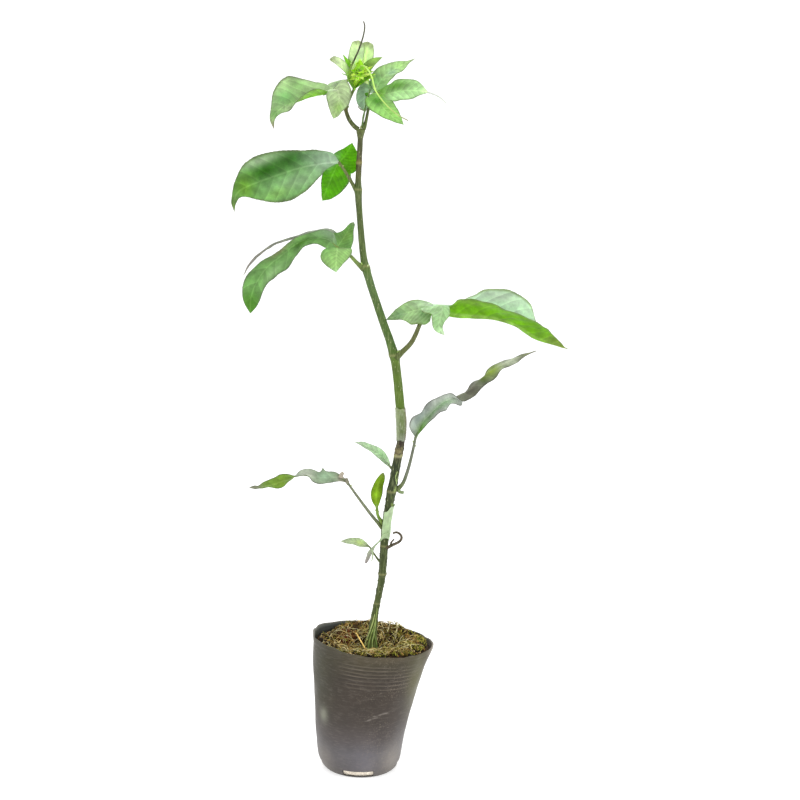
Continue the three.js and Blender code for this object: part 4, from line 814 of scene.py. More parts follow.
def makeStem():
    s = stemSet
    heights = np.concatenate([np.arange(97, 516.3, 0.7), [516.6, 517.0]])
    H, A = np.meshgrid(heights, circle(44), indexing="ij")
    rings = stemPoint(H, A)
    rings[-1] = rings[-1].mean(0) + (rings[-1] - rings[-1].mean(0)) * 0.6
    verts, tris = skin(rings)
    h, a = np.append(H.ravel(), [97, 517]), np.append(A.ravel(), [0, 0])
    flat = evenRound(a, h)
    tones = uneven(0.82 * toneAlong(s["tones"], h), 0.16, flat, 12, 65, 3)
    for at, _, reach in s["scars"]:
        tones = mixTones(tones, linear(s["scarTone"]), 0.5 * bell(h - at - 0.5 * np.sin(a + at), reach))
    corky = corkShare(h)
    tones = mixTones(tones, linear(s["corkTone"]), corky * ease(ripple(flat, 4, 66, 2), 0.0, 0.5))
    tones = mixTones(tones, linear(s["darkCorkTone"]), corky * ease(ripple(flat, 5, 67, 2), 0.15, 0.5))
    # a pale split runs down the right side of the rootstock
    split = bell(turnFrom(a, -0.75 - 0.3 * np.sin(h / 5)), 0.3) * ease(h, 205, 215) * (1 - ease(h, 240, 250))
    tones = mixTones(tones, linear(s["streakTone"]), 0.8 * split * ease(ripple(flat, 6, 68, 2), -0.3, 0.2))
    makePiece("stemBark", verts, tris, tones, ["trunk"], "green_stem", stemSkin)


# the left shoot above the fork: two bowed lengths that meet in a joint, and its radius along both
boughSet = {
    "lower": {"from": [-17.6, 0, 516.6], "to": [-27.8, -3, 531.8], "bow": [-1.5, 0, -1.5]},
    "upper": {"from": [-27.8, -3, 531.8], "to": [-21.5, 0, 547.2], "bow": [-0.6, 0, -0.4]},
    "radii": [[0, 1.85], [0.5, 1.5], [0.56, 1.6], [1, 1.0]], "joint": [0.535, 0.3],
    "tones": [[514, "#5a6434"], [524, "#4c5428"], [531, "#5f5c2c"], [533, "#555c2c"], [547, "#647a34"]],
}


def makeBough():
    s = boughSet
    part = lambda name, count: bend(*(vec(*s[name][key]) for key in ("from", "to", "bow")), count)
    path = np.concatenate([part("lower", 30), part("upper", 26)[1:]])
    path[1:-1] = (path[:-2] + 2 * path[1:-1] + path[2:]) / 4
    far = np.linspace(0, 1, len(path))
    at, rise = s["joint"]
    radii = np.interp(far, *np.transpose(s["radii"])) + rise * bell(far - at, 0.03)
    points, tris = tube(path, radii, 22)
    points += unit(points - points.mean(0)) * (0.06 * ripple(points * vec(1, 1, 0.4), 3, 71, 2))[:, None]
    tones = uneven(0.74 * toneAlong(s["tones"], points[:, 2]), 0.15, points, 7, 72)
    makePiece("boughBark", points, tris, tones, ["top_bough"], "green_stem", stemSkin)


makeStem()
makeBough()
print("stem made")

# graft films: the upper one is wound as a sleeve, the lower one is torn and hangs in a strip
filmSet = {
    "upper": {"low": 273.5, "high": 299.5, "step": 8.5, "lap": 0.16, "lapTone": "#b7c09c",
        "rightTone": "#8a7668", "leftTone": "#a9b58c",
        "tones": [[272, "#7f8474"], [280, "#61723a"], [290, "#66793e"], [300, "#80915a"]]},
    "lower": {"open": [-2.25, 1.75], "foot": [193.1, -0.19], "head": [216.5, 0.78],
        "tones": [[190, "#a8c191"], [205, "#a9c690"], [222, "#b5c9a0"]]},
    "strip": {
        "places": [[14.6, -5.7, 198], [11.1, -5.9, 193], [7.6, -6.4, 189.4], [4.2, -6.7, 185.6], [2, -6.9, 181.5],
            [0.4, -6.8, 177], [-1, -6.7, 172.6]],
        "wide": [2.5, 2.3, 2.1, 2.0, 2.2, 1.8, 1.1], "tones": ["#a9c48f", "#a0b08d", "#9c8f92"],
    },
    "tail": {"places": [[3.5, -6.8, 184.6], [4.3, -7.5, 179], [3.6, -7.4, 174.5]], "radii": [0.8, 0.4],
        "tone": "#a7b98f"},
}


# film sleeve: the stem's round plus a gap, thicker by one lap for each turn of a spiral, with fine creases
def makeUpperFilm():
    s = filmSet["upper"]
    turn = circle(64)
    rows = 70
    H, A = np.meshgrid(np.linspace(s["low"], s["high"], rows), turn, indexing="ij")
    flat = evenRound(A, H)
    spiral = (H / s["step"] + A / (2 * np.pi)) % 1
    creased = 0.16 * ripple(flat * vec(1, 1, 0.35), 2.6, 81, 3).reshape(H.shape)
    belly = 0.35 * np.sin(np.pi * (H - s["low"]) / (s["high"] - s["low"])) * (0.6 + 0.4 * np.cos(A))
    lapped = s["lap"] * ease(spiral, 0.0, 0.12) * (1 - 0.4 * spiral)
    outer = stemPoint(H, A, 0.45 + lapped + creased + belly, relief=False)
    inner = stemPoint(H, A, 0.25, relief=False)
    ends = 0.5 * np.sin(3 * turn + 1) + 0.35 * np.sin(7 * turn)
    outer[0, :, 2] += ends
    outer[-1, :, 2] += ends[::-1]
    verts, tris = skin(np.concatenate([outer, inner[::-1]]), looped=True)
    tones = uneven(toneAlong(s["tones"], verts[:, 2]), 0.14, verts, 6, 82)
    lapEdge = bell(np.append(spiral.ravel(), np.zeros(spiral.size)) - 0.08, 0.06)
    tones = mixTones(tones, linear(s["lapTone"]), 0.1 * lapEdge)
    sideways = np.tile(np.cos(turn - 0.2), 2 * rows)
    tones = mixTones(tones, linear(s["rightTone"]), 0.62 * ease(sideways, 0.35, 0.9))
    tones = mixTones(tones, linear(s["leftTone"]), 0.4 * ease(-sideways, 0.3, 0.9))
    makePiece("upperFilm", verts, tris, tones, ["graft_tape_upper"], "graft_film", graftFilm)


# torn wrap: a sleeve cut slantwise at top and foot and open on the left, plus its hanging strip and tail
def makeLowerFilm():
    s = filmSet["lower"]
    turn = np.linspace(*s["open"], 60)  # from front left round the right to the back
    share = np.linspace(0, 1, 48)
    V, A = np.meshgrid(share, turn, indexing="ij")
    x = 16 + 5 * np.cos(A)
    # the two cuts: a height and a slope to the right, and a ragged wave
    (foot, footSlope), (head, headSlope) = s["foot"], s["head"]
    low = foot + footSlope * (x - 15) - 0.07 * 5 * np.sin(A) + 0.6 * np.sin(4 * A)
    high = head + headSlope * (x - 15) + 0.7 * np.sin(5 * A + 1)
    H = low + (high - low) * V
    creased = 0.22 * ripple(evenRound(A, H) * vec(1, 1, 0.3), 3, 84, 3).reshape(H.shape)
    lifted = 0.5 * ease(np.abs(A + 0.25), 1.5, 2.0) + 0.35 * ease(V, 0.8, 1)
    outer = stemPoint(H, A, 0.72 + creased + lifted, relief=False)
    inner = stemPoint(H, A, 0.36 + creased * 0.6 + lifted, relief=False)
    # one closed shell: outer face, inner face, and a wall round the whole margin
    rows, cols = H.shape
    a = (np.arange(rows - 1)[:, None] * cols + np.arange(cols - 1)[None]).ravel()
    front = np.concatenate(quads(a, a + 1, a + 1 + cols, a + cols))
    n = rows * cols
    i, j = np.arange(rows - 1), np.arange(cols - 1)
    edge = np.concatenate([j, i * cols + cols - 1, n - 1 - j, (i[::-1] + 1) * cols])
    tris = shellFaces(front, np.stack([edge, np.roll(edge, -1)], 1), n)
    points = np.concatenate([outer.reshape(-1, 3), inner.reshape(-1, 3)])
    bodies = [(points, tris, uneven(toneAlong(s["tones"], points[:, 2]), 0.15, points, 5, 85))]
    strip = filmSet["strip"]
    path = through(strip["places"], 44)
    t = np.linspace(0, 1, len(path))
    wide = np.interp(t, np.linspace(0, 1, 7), strip["wide"]) * (1 + 0.08 * np.sin(t * 23))
    across = np.stack([np.cos(0.5 * np.sin(t * 5)), 0.15 * np.sin(t * 9), 0.3 + 0.2 * np.sin(t * 6)], 1)
    v = np.linspace(-1, 1, 13)
    face = path[:, None] + unit(across)[:, None] * (wide[:, None] * v)[..., None]
    face[..., 1] += 0.35 * np.sin(v * 5 + t[:, None] * 8) * (0.3 + 0.7 * t[:, None])
    rings = np.concatenate([face - vec(0, 0.16, 0), (face + vec(0, 0.16, 0))[:, ::-1]], 1)
    verts, faces = skin(rings)
    stripTones = toneAlong([[k / 2, c] for k, c in enumerate(strip["tones"])], np.append(np.repeat(t, 26), [0, 1]))
    bodies.append((verts, faces, stripTones))
    tail = filmSet["tail"]
    verts, faces = tube(through(tail["places"], 18), np.linspace(*tail["radii"], 19), 8)
    bodies.append((verts, faces, plain(tail["tone"], verts)))
    makePiece("lowerFilm", *gather(bodies), ["graft_tape_lower"], "graft_film", graftFilm)


makeUpperFilm()
makeLowerFilm()
print("films made")

# leaves, from the highest down. root and at: where the stalk leaves the stem and where the blade begins. The midrib of
# a lobe runs from there through the places in its line, measured from there; a row gives, for a share of its length,
# the half widths left and right of the midrib, how far each half folds up and, where it has, how far the blade has
# rolled; faces gives the way its top looks. A patch gives its lobe, its place along and across, its reach along and
# across, the side that shows it, its tone and how much of it.
# top and under are partly each side's own colour and partly painted light: painted sheen on the tops and painted light
# shining through the undersides. The patches hold painted shade and painted sheen as well as the leaf's own blotches.
leafTable = {
    "leaf_left_top": {
        "root": [-27.4, -3, 532.6], "at": [-36.2, -10, 546], "through": [[-29.6, -5, 538], [-33, -8, 543]],
        "stalkRadii": [1.2, 0.9], "web": 10, "spread": 65, "finish": waxyLeaf,
        "top": "#b4d098", "under": "#88bd44", "tip": "#6f5c50", "margin": "#66754e",
        "lobes": [
            {"line": [[-6.6, -2, -4], [-17.7, -6, -7.2], [-27, -10, -11.4], [-35.6, -14, -15], [-41.8, -17, -20],
                 [-45, -18, -25.9], [-43.9, -18, -32.8]],
             "rows": [[0, 0, 0, 50, 55], [0.13, 9, 10, 50, 56], [0.32, 10.4, 18, 38, 58], [0.49, 9.6, 21.5, 32, 63],
                 [0.58, 8, 19.5, 16, 60], [0.68, 6, 13.6, -6, 45], [0.79, 3.6, 5.8, 0, 20], [0.89, 2, 2.2, 10, 10]],
             "faces": [[0, 0, 0, 1], [0.5, 0, -0.2, 1], [0.75, -0.5, -0.9, 0.5], [1, -0.3, -1, 0.2]]},
            {"line": [[4, 10, 4.7], [8.5, 18, 8.5]],
             "rows": [[0, 0, 0, 20, 20], [0.4, 5.5, 6.5, 20, 20], [0.7, 4, 5, 15, 15]],
             "faces": [[0, -0.2, -0.6, 0.8], [1, -0.4, -0.9, 0.3]], "top": "#8fa878"},
            {"line": [[3.2, -8, -2.7], [4.2, -12, -9], [2.4, -14, -16.5], [0.5, -14, -23.4]],
             "rows": [[0, 0, 0, 60, 0], [0.12, 8, 7, 56, -8], [0.3, 9.8, 9, 4, -16], [0.53, 8.4, 10, -20, -20],
                 [0.68, 6.2, 8.2, -18, -18], [0.8, 4.2, 5.4, -12, -12], [0.92, 2.6, 2.6, 0, 0]],
             "faces": [[0, 0, -0.3, 1], [0.4, 0, -1, 0.4], [1, 0, -1, 0.1]], "top": "#bccf9f", "tip": "#93ac74"},
        ],
        "patches": [
            [0, 0.62, 6, 0.12, 6, "top", "#6fb063", 0.7],
            [0, 0.82, 0, 0.08, 5, "top", "#62924a", 0.8],
            [0, 0.4, 12, 0.1, 6, "top", "#9ccb7e", 0.7],
            [2, 0.72, -1, 0.16, 4, "top", "#8fbc52", 0.7],
        ],
    },
    "leaf_right_top": {
        "root": [-13.6, 0, 516.9], "at": [-5.6, -2, 545],
        "through": [[-11.9, 0, 523], [-10.4, -0.6, 531.4], [-8.3, -1.5, 539.6]], "stalkRadii": [1.35, 0.95], "web": 9,
        "spread": 55, "finish": waxyLeaf,
        "top": "#a4d488", "under": "#69b028", "tip": "#9ab27c", "margin": "#647f46",
        "lobes": [
            {"line": [[8.6, -3, -1.6], [20, -7, 0.9], [31, -10, 1.3], [41, -12, 0.3]],
             "rows": [[0, 0, 0, 8, 8], [0.1, 4.5, 4.5, 8, 8], [0.21, 7.2, 7, 8, 8], [0.49, 9.8, 9.4, 12, 8],
                 [0.62, 9.6, 8.6, 12, 6], [0.765, 8.2, 6.4, 8, 4], [0.88, 4.6, 3.2, 4, 0], [0.95, 1.8, 1.5, 0, 0]],
             "faces": [[0, 0, -0.85, 0.6], [1, 0.2, -0.9, 0.4]], "top": "#c6f0ac", "tip": "#cfe0b8"},
            {"line": [[1.9, -6, -5.6], [6.8, -14, -12.7], [14, -21, -19.2], [23, -26, -25]],
             "rows": [[0, 0, 0, 8, 8], [0.1, 5, 6, 8, 8], [0.19, 8, 9.5, 8, 8], [0.455, 9.5, 10.4, 12, 8],
                 [0.6, 8.6, 7.4, 12, 6], [0.73, 7, 4.2, 10, 4], [0.88, 3.8, 2.4, 4, 0]],
             "faces": [[0, 0.1, -0.8, 0.6], [1, 0.3, -0.9, 0.4]], "top": "#a8de7c", "tip": "#7fa860"},
            {"line": [[4, 5, 8.8], [11, 10, 16.3], [20, 14, 22], [30, 16, 27.6]],
             "rows": [[0, 0, 0, 8, 8], [0.1, 5, 4.4, 8, 8], [0.24, 8.6, 7.2, 14, 14], [0.5, 7.8, 7, 16, 16],
                 [0.62, 6.4, 6, 16, 16], [0.75, 4, 4, 10, 10], [0.87, 1.4, 1.5, 0, 0]],
             "faces": [[0, -0.2, -0.8, 0.6], [1, -0.2, -0.9, 0.4]], "top": "#b6d894", "tip": "#8f9c78"},
        ],
        "extraLobes": [
            {"line": [[-4, 6, 2.4], [-7.6, 10, -1], [-8.6, 12, -7], [-7.4, 13, -14.6]],
             "rows": [[0, 3, 3, 8, 8], [0.3, 7, 7.4, 8, 8], [0.55, 6.6, 6.8, 8, 8], [0.8, 4.6, 4.6, 4, 4]],
             "faces": [[0, 0, -0.9, 0.5], [1, 0, -0.9, 0.3]], "top": "#b4ccb8", "tip": "#9cc08c"},
        ],
        "patches": [
            [0, 0.42, -5, 0.26, 5, "top", "#5f9a24", 0.9],
            [0, 0.12, 2, 0.12, 8, "top", "#72b01c", 0.9],
            [1, 0.26, 1, 0.16, 6, "top", "#448a10", 0.95],
            [1, 0.66, -3, 0.2, 3, "top", "#a9e070", 0.6],
            [2, 0.5, 2, 0.1, 4, "top", "#b4dcc0", 0.6],
            [2, 0.72, -1, 0.12, 3, "top", "#b2d88a", 0.7],
            [2, 0.2, -3, 0.12, 6, "top", "#82bf78", 0.6],
        ],
        "threads": [
            {"places": [[34.6, -13.9, 545.4], [39.6, -14.9, 543.8], [44.6, -15.4, 541.4], [49.2, -15.8, 537.2]],
             "radii": [0.75, 0.35], "tone": "#c3c8bf"},
            {"places": [[-14.6, -0.4, 518.5], [-14.2, -2.4, 524], [-13.2, -4.2, 529.4], [-12.4, -6, 533.6],
                 [-10.9, -8.6, 539.4], [-9, -9, 546.6]], "radii": [0.8, 0.6], "tone": "#4f6a34"},
            {"places": [[-11.6, -2.3, 531.4], [-14.6, -4.2, 531], [-17, -4.6, 532.2], [-18, -4.4, 533.6]],
             "radii": [0.6, 0.4], "tone": "#7f8466"},
        ],
    },
    "leaf_left_upper": {
        "root": [-17.4, 0, 469.4], "at": [-31.8, -4, 491], "through": [[-21.3, -1.5, 475.4], [-27, -3, 484.4]],
        "stalkRadii": [1.5, 1.1], "web": 9, "spread": 70, "finish": waxyLeaf,
        "top": "#6fae45", "under": "#7aac66", "tip": "#6f8a3c", "margin": "#6c7d52",
        "lobes": [
            {"line": [[-10.7, -1, -1.2], [-26, -2, -4.4], [-41.3, -3, -9.5], [-58.8, -5, -16.2], [-71.5, -7, -22],
                 [-77.5, -8, -27], [-79.6, -8.5, -34], [-79.1, -9, -41]],
             "rows": [[0, 0, 0, 8, 8], [0.05, 7, 3.5, 8, 8], [0.11, 11, 6.4, 10, 8], [0.27, 13.4, 17, 10, 8],
                 [0.436, 17.2, 22.4, 8, 8], [0.63, 18.6, 17.8, 6, 6], [0.72, 15.6, 12.4, 6, 6], [0.8, 8.6, 6.8, 4, 4],
                 [0.86, 3.5, 3.8, 4, 4], [0.93, 1.7, 1.8, 0, 0]],
             "faces": [[0, 0, 1, 0.3], [0.7, 0.1, 1, 0.25], [1, 0.1, 1, 0.1]], "wave": 0.9, "waves": 3},
            {"line": [[-4, 6, -7.7], [-8, 11, -17], [-13, 16, -30]],
             "rows": [[0, 0, 0, 8, 8], [0.1, 5, 9.6, 8, 8], [0.29, 9.5, 13.8, 8, 8], [0.45, 8, 13.8, 8, 8],
                 [0.6, 6.4, 12.4, 8, 8], [0.8, 3.6, 8.4, 4, 4], [0.93, 1.6, 4.2, 0, 0]],
             "faces": [[0, 0, 1, 0.3], [1, 0.1, 1, 0.1]], "under": "#5eb000", "tip": "#66a81c"},
            {"line": [[3.6, 4, 4], [6.4, 8, 8.8], [9.4, 11, 15.4]],
             "rows": [[0, 0, 0, 8, 8], [0.12, 11, 5, 8, 8], [0.32, 14.4, 6, 8, 8], [0.64, 10.4, 3.6, 6, 6],
                 [0.85, 4.4, 1.8, 2, 2]],
             "faces": [[0, 0, 1, 0.3], [1, 0.1, 1, 0.1]], "under": "#62b400", "tip": "#66a81c"},
        ],
        "patches": [
            # the two dark patches are painted shade on the underside
            [0, 0.34, -8, 0.17, 8, "under", "#276200", 1],
            [0, 0.58, -6, 0.17, 7, "under", "#276400", 1],
            [0, 0.08, -2, 0.16, 13, "under", "#aac4aa", 0.95],
            [0, 0.36, 10, 0.2, 7, "under", "#98b98c", 0.9],
            [0, 0.78, 0, 0.09, 12, "under", "#6fa122", 0.8],
            [0, 0.6, -15, 0.16, 3.5, "under", "#a3b496", 0.8],
            [0, 0.55, 14, 0.12, 5, "under", "#8cbb60", 0.7],
        ],
        "threads": [
            {"places": [[-19, 0.6, 471.5], [-20.6, 1.6, 475.4], [-22.8, 2.4, 480]], "radii": [0.7, 0.4]},
        ],
    },
    "leaf_left_middle": {
        "root": [-10, 0, 409], "at": [-31.2, -6, 425.4],
        "through": [[-15.5, -2, 413.7], [-21.1, -4, 419.4], [-26, -5, 422.8]], "stalkRadii": [1.8, 1.2], "web": 12,
        "spread": 65, "finish": waxyLeaf,
        "top": "#78a85e", "under": "#5f9c3c", "tip": "#4f8222", "margin": "#6c7a5e", "stalkTone": "#6f8440",
        "lobes": [
            {"line": [[-8, 0, 6], [-20, -1, 6.2], [-31, -2, 2], [-41.6, -4, -6.7], [-53.5, -6, -17], [-62, -8, -30.5],
                 [-65.4, -9.5, -42], [-65.6, -10, -53]],
             "rows": [[0, 5, 2, 20, 30], [0.1, 10, 7.4, 20, 40], [0.216, 8.4, 5.2, 20, 50], [0.33, 8.6, 4.6, 14, 48],
                 [0.42, 11, 4, 6, 38], [0.5, 13.4, 4.4, 2, 24], [0.62, 12.4, 7.6, 6, 14], [0.78, 9.8, 9.8, 10, 10],
                 [0.895, 8, 7, 10, 10], [0.95, 5, 3.8, 6, 6]],
             "faces": [[0, 0, -0.6, 0.8], [0.3, -0.2, -0.8, 0.6], [0.6, -0.5, -0.9, 0.4], [1, -0.3, -1, 0.2]],
             "wave": 0.6, "waves": 3},
            {"line": [[3.6, 4, 5.4], [7.1, 9, 11.6], [11.6, 14, 19.8]],
             "rows": [[0, 0, 9, 8, 4], [0.12, 1.6, 10.4, 8, 4], [0.29, 3.2, 9.6, 14, 10], [0.61, 3, 6, 18, 18],
                 [0.85, 2.2, 3.4, 18, 18], [0.95, 1.4, 2, 8, 8]],
             "faces": [[0, -0.1, -0.8, 0.6], [1, -0.3, -0.9, 0.3]], "top": "#77a85a", "tip": "#7d8c6c"},
            {"line": [[0.5, -8, -2.7], [0.2, -14, -10.2], [0.6, -17, -18.4]],
             "rows": [[0, 9, 8, 0, 0], [0.12, 11, 12, 0, 0], [0.32, 11.4, 14.6, -8, -8], [0.5, 9.4, 14.2, -12, -12],
                 [0.68, 6.4, 11.2, -8, -8], [0.85, 3.2, 5.8, 0, 0]],
             "faces": [[0, 0, -0.3, 1], [0.4, 0, -0.9, 0.6], [1, 0, -1, 0.3]], "top": "#a0ca7a", "tip": "#a8cc94"},
        ],
        "extraLobes": [
            {"line": [[-6.6, 8, 9.4], [-20.6, 11, 9], [-34.6, 12, 5.4], [-48.8, 12, 0.9], [-62, 12, -8.5],
                 [-69.8, 12, -16.8], [-74.2, 12, -25]],
             "rows": [[0, 1, 1, 0, 0], [0.1, 4, 4.6, 12, 12], [0.24, 3.4, 4, 20, 20], [0.36, 2.4, 2.6, 30, 30],
                 [0.46, 1.6, 1.5, 40, 40], [0.7, 1.3, 1.2, 40, 40], [0.92, 1, 0.9, 20, 20]],
             "faces": [[0, 0, -0.6, 0.8], [1, -0.5, -0.8, 0.5]], "top": "#a3ad9c", "tip": "#9a918f", "under": "#a39c98",
             "tipFrom": 0.3},
        ],
        "patches": [
            [0, 0.3, -2, 0.08, 3, "top", "#578a30", 0.85],
            [0, 0.08, 6, 0.1, 5, "top", "#a9c6a2", 0.8],
            [0, 0.47, 4, 0.1, 2.4, "top", "#7f7658", 0.8],
            [0, 0.62, -8, 0.12, 4, "top", "#a9cf92", 0.6],
            [0, 0.92, 0, 0.08, 8, "top", "#55902a", 0.9],
            [1, 0.5, 2, 0.3, 4, "top", "#84b34a", 0.6],
        ],
    },
    "leaf_right_large": {
        "root": [17.2, 0, 339.8], "at": [45, 1, 380.4],
        "through": [[22.6, -1, 345], [29, -1.5, 352.1], [32.9, -1, 360.1], [35.9, -0.6, 368], [40.4, 0.2, 375.4]],
        "stalkRadii": [2.3, 1.5],
        "web": 13, "spread": 70, "finish": waxyLeaf, "stalkTone": "#575a32",
        "top": "#c9e7c6", "under": "#70aa0a", "tip": "#8c7c58", "margin": "#7d9650",
        "lobes": [
            {"line": [[7, -0.5, -3.4], [17.5, -1, -6.2], [33.5, -1, -6.6], [49, -1, -7.4], [65.5, 0, -12],
                 [82, 3, -21.8], [97, 6, -26.3], [109.3, 8, -29.6]],
             "rows": [[0, 0, 6, 40, 56], [0.06, 7, 11.6, 38, 60], [0.16, 15, 19.6, 38, 62], [0.3, 23, 21.4, 56, 56],
                 [0.43, 27, 21.5, 66, 41], [0.58, 25.4, 21, 70, 36], [0.66, 20, 19.5, 66, 41], [0.75, 13.4, 17, 52, 52],
                 [0.885, 7.5, 7.6, 26, 60], [0.95, 3.2, 3.4, 18, 48]],
             "faces": [[0, 0, 0, 1], [1, 0, -0.1, 1]], "tip": "#8f8a4c"},
            {"line": [[5, -12, 3.6], [7.3, -21, 0.4], [5.4, -28, -6.4], [5, -32, -12.2], [9.4, -34, -18]],
             "rows": [[0, 0, 9, 0, 0], [0.1, 4.5, 13, -8, -8], [0.28, 7, 14, -24, -24], [0.5, 7, 10.2, -34, -34],
                 [0.7, 4.6, 6.4, -30, -30], [0.845, 3, 4.2, -16, -16], [0.94, 1.2, 1.9, 0, 0]],
             "faces": [[0, 0, 0, 1], [0.45, 0.1, -0.7, 0.8], [1, 0.2, -1, 0.2]], "top": "#a8ce94", "tip": "#c4d8ba"},
            {"line": [[-10.2, 3, -2.2], [-22, 7, -5.8], [-30, 9.5, -9], [-36.6, 11, -12]],
             "rows": [[0, 13, 6, 8, 8], [0.1, 16, 11.4, 8, 8], [0.26, 15.4, 13.2, 12, 8], [0.42, 14, 12.2, 14, 8],
                 [0.56, 8.6, 9, 14, 10], [0.75, 3.8, 5.4, 8, 8], [0.9, 1.8, 2.4, 0, 0]],
             "faces": [[0, 0, -0.75, 0.6], [1, 0, -0.8, 0.5]], "top": "#a6c68c", "tip": "#6d8a60"},
        ],
        "patches": [
            [2, 0.22, 7, 0.2, 5, "top", "#c4d6b4", 0.7],
            [2, 0.2, -3, 0.07, 6, "top", "#7fb66c", 0.7],
            [2, 0.7, 0, 0.14, 4, "top", "#86b07e", 0.7],
            [0, 0.45, -20, 0.12, 5, "top", "#cddfc8", 0.8],
            [0, 0.9, 3, 0.1, 8, "under", "#86a83a", 0.7],
            [0, 0.25, 16, 0.2, 3, "under", "#8db34a", 0.6],
            [0, 0.4, 1.6, 0.5, 1.4, "under", "#a3c664", 0.7],
        ],
    },
    "leaf_right_twisted": {
        "root": [21.5, -0.4, 232.6], "at": [35.4, 4, 275.4],
        "through": [[26.4, 0.4, 237.8], [29.4, 1.4, 246], [31.9, 2.2, 256], [34.2, 3.2, 267.6]],
        "stalkRadii": [1.6, 1.2], "finish": greyLeaf, "stalkTone": "#626658",
        "top": "#b2bab0", "under": "#7d8270", "tip": "#757848", "margin": "#3a3430",
        "lobes": [
            {"line": [[4.1, 0, 9.9], [11.7, 0, 20], [21, 0.5, 29.2], [32.6, 1, 34.4], [42, 2, 39.6], [50.4, 3, 48.4],
                 [60, 4, 56], [70.3, 5, 61.8], [81.3, 5.5, 67.2], [94.5, 6, 72.6]],
             "rows": [[0, 0.6, 0.6, 10, 10], [0.03, 5.4, 2.4, 20, 20], [0.087, 9.4, 4.6, 24, 30],
                 [0.15, 7.2, 6, 24, 30], [0.21, 7.6, 7.8, 24, 30], [0.28, 5.6, 9, 22, 26, 4],
                 [0.345, 5.2, 4.4, 24, 30, 24], [0.4, 7.4, 7, 66, 66, 92], [0.45, 6, 6.8, 30, 30, 140],
                 [0.5, 7, 6.2, 24, 24, 158], [0.56, 7, 6.8, 24, 24, 150], [0.6, 8.2, 7.8, 24, 24, 145],
                 [0.66, 7, 7.6, 22, 22, 150], [0.72, 5, 7, 20, 20, 160], [0.79, 3.8, 5.4, 16, 16, 165],
                 [0.89, 2, 1.7, 10, 10, 165], [0.95, 0.9, 0.9, 0, 0, 165], [1, 0, 0, 0, 0, 165]],
             "faces": [[0, -0.3, -0.8, 0.5], [0.5, -0.3, -0.85, 0.5], [1, -0.2, -0.8, 0.6]], "wave": 1.3, "waves": 5,
             "phase": 0.6, "ruffle": 0.8},
        ],
        "patches": [
            [0, 0.07, 2.4, 0.09, 4, "both", "#639a12", 1],
            [0, 0.2, 2, 0.14, 3.6, "top", "#82a878", 0.8],
            [0, 0.3, 2, 0.06, 3, "top", "#98bd90", 0.6],
            [0, 0.12, -5, 0.08, 3, "top", "#83978f", 0.7],
            [0, 0.5, 0, 0.06, 12, "under", "#5d594e", 0.8],
            [0, 0.6, 0, 0.03, 12, "under", "#3c4a26", 0.8],
            [0, 0.68, 2, 0.07, 7, "under", "#829c26", 1],
            [0, 0.82, 0, 0.08, 6, "under", "#b3bba4", 0.8],
        ],
        "threads": [
            {"places": [[22, -0.5, 233.2], [24.6, -1, 231.2], [27.6, -1.2, 230.8]], "radii": [1.5, 1.2],
             "tone": "#75875c"},
            {"places": [[20.2, -1.6, 233.6], [21.2, -3.4, 239], [20.4, -4.4, 244], [21.8, -4.2, 248.6]],
             "radii": [0.9, 0.35], "tone": "#93a866"},
        ],
    },
    "leaf_small_pale": {
        "root": [19.3, 0, 247.6], "at": [16, 0.6, 251], "stalkRadii": [0.95, 0.75], "finish": waxyLeaf,
        "top": "#b9d0ae", "under": "#93bd80", "tip": "#b3bcae", "margin": "#84997c",
        "lobes": [
            {"line": [[-4, 1, 5.4], [-9, 2.4, 10.4], [-17.4, 4.4, 14.2], [-24, 6, 17.2], [-30, 7.4, 18.2]],
             "rows": [[0, 0.6, 0.6, 10, 10], [0.12, 2.6, 2.2, 24, 24], [0.3, 4.4, 3.6, 32, 32], [0.5, 4.2, 3.8, 34, 34],
                 [0.7, 3, 2.8, 26, 26], [0.86, 1.7, 1.6, 12, 12]],
             "faces": [[0, -0.2, -0.8, 0.5], [1, 0, -0.7, 0.7]]},
        ],
        "patches": [[0, 0.3, 0, 0.14, 3, "top", "#a5d19a", 0.7]],
    },
    "leaf_small_upright": {
        "root": [13.2, -0.5, 203.5], "at": [6.4, -3, 217.6], "through": [[9.6, -1.4, 207.4], [7.2, -2.6, 212]],
        "stalkRadii": [1.6, 1.15], "finish": freshLeaf, "stalkTone": "#66822e",
        "top": "#8aab24", "under": "#84a41e", "tip": "#7f8c4c", "margin": "#4f6a1e",
        "lobes": [
            {"line": [[-1.1, 1, 8.8], [0.2, 3, 18.3], [4.2, 5, 28.6]],
             "rows": [[0, 0.5, 0.5, 6, 6], [0.14, 2.9, 2.6, 8, 8], [0.4, 5, 4.4, 10, 10], [0.62, 4.8, 3.6, 10, 10],
                 [0.85, 3.4, 2.2, 8, 8], [0.95, 1.8, 1.2, 0, 0]],
             "faces": [[0, -0.1, 1, 0.1], [1, -0.1, 1, 0.1]]},
        ],
        "patches": [[0, 0.4, 0, 0.24, 1.6, "both", "#a6cf2e", 0.8]],
    },
    "leaf_left_twisted": {
        "root": [11.6, 0.4, 200.4], "at": [-18.4, -8, 240],
        "through": [[3.6, -2.2, 209.8], [-5, -5, 221.2], [-14, -7, 233.6]], "stalkRadii": [1.5, 1.05],
        "finish": greyLeaf, "stalkTone": "#686c58",
        "top": "#86987c", "under": "#74983a", "tip": "#757660", "margin": "#443e3a",
        "lobes": [
            {"line": [[-9.6, -2, 3.3], [-19.8, -5, 3], [-30.6, -7, 5.6], [-39.2, -9, 4.8], [-47, -10, 2.1],
                 [-56.3, -11, -1.6], [-66.4, -12, -3.8], [-76.4, -13, -5]],
             "rows": [[0, 1.2, 1, 10, 10, 20], [0.06, 2.4, 2.6, 10, 10, 20], [0.13, 4.2, 4.4, 16, 16, 24],
                 [0.22, 6, 6, 16, 16, 26], [0.245, 6.2, 8.4, 16, 16, 28], [0.27, 6.2, 6, 16, 16, 30],
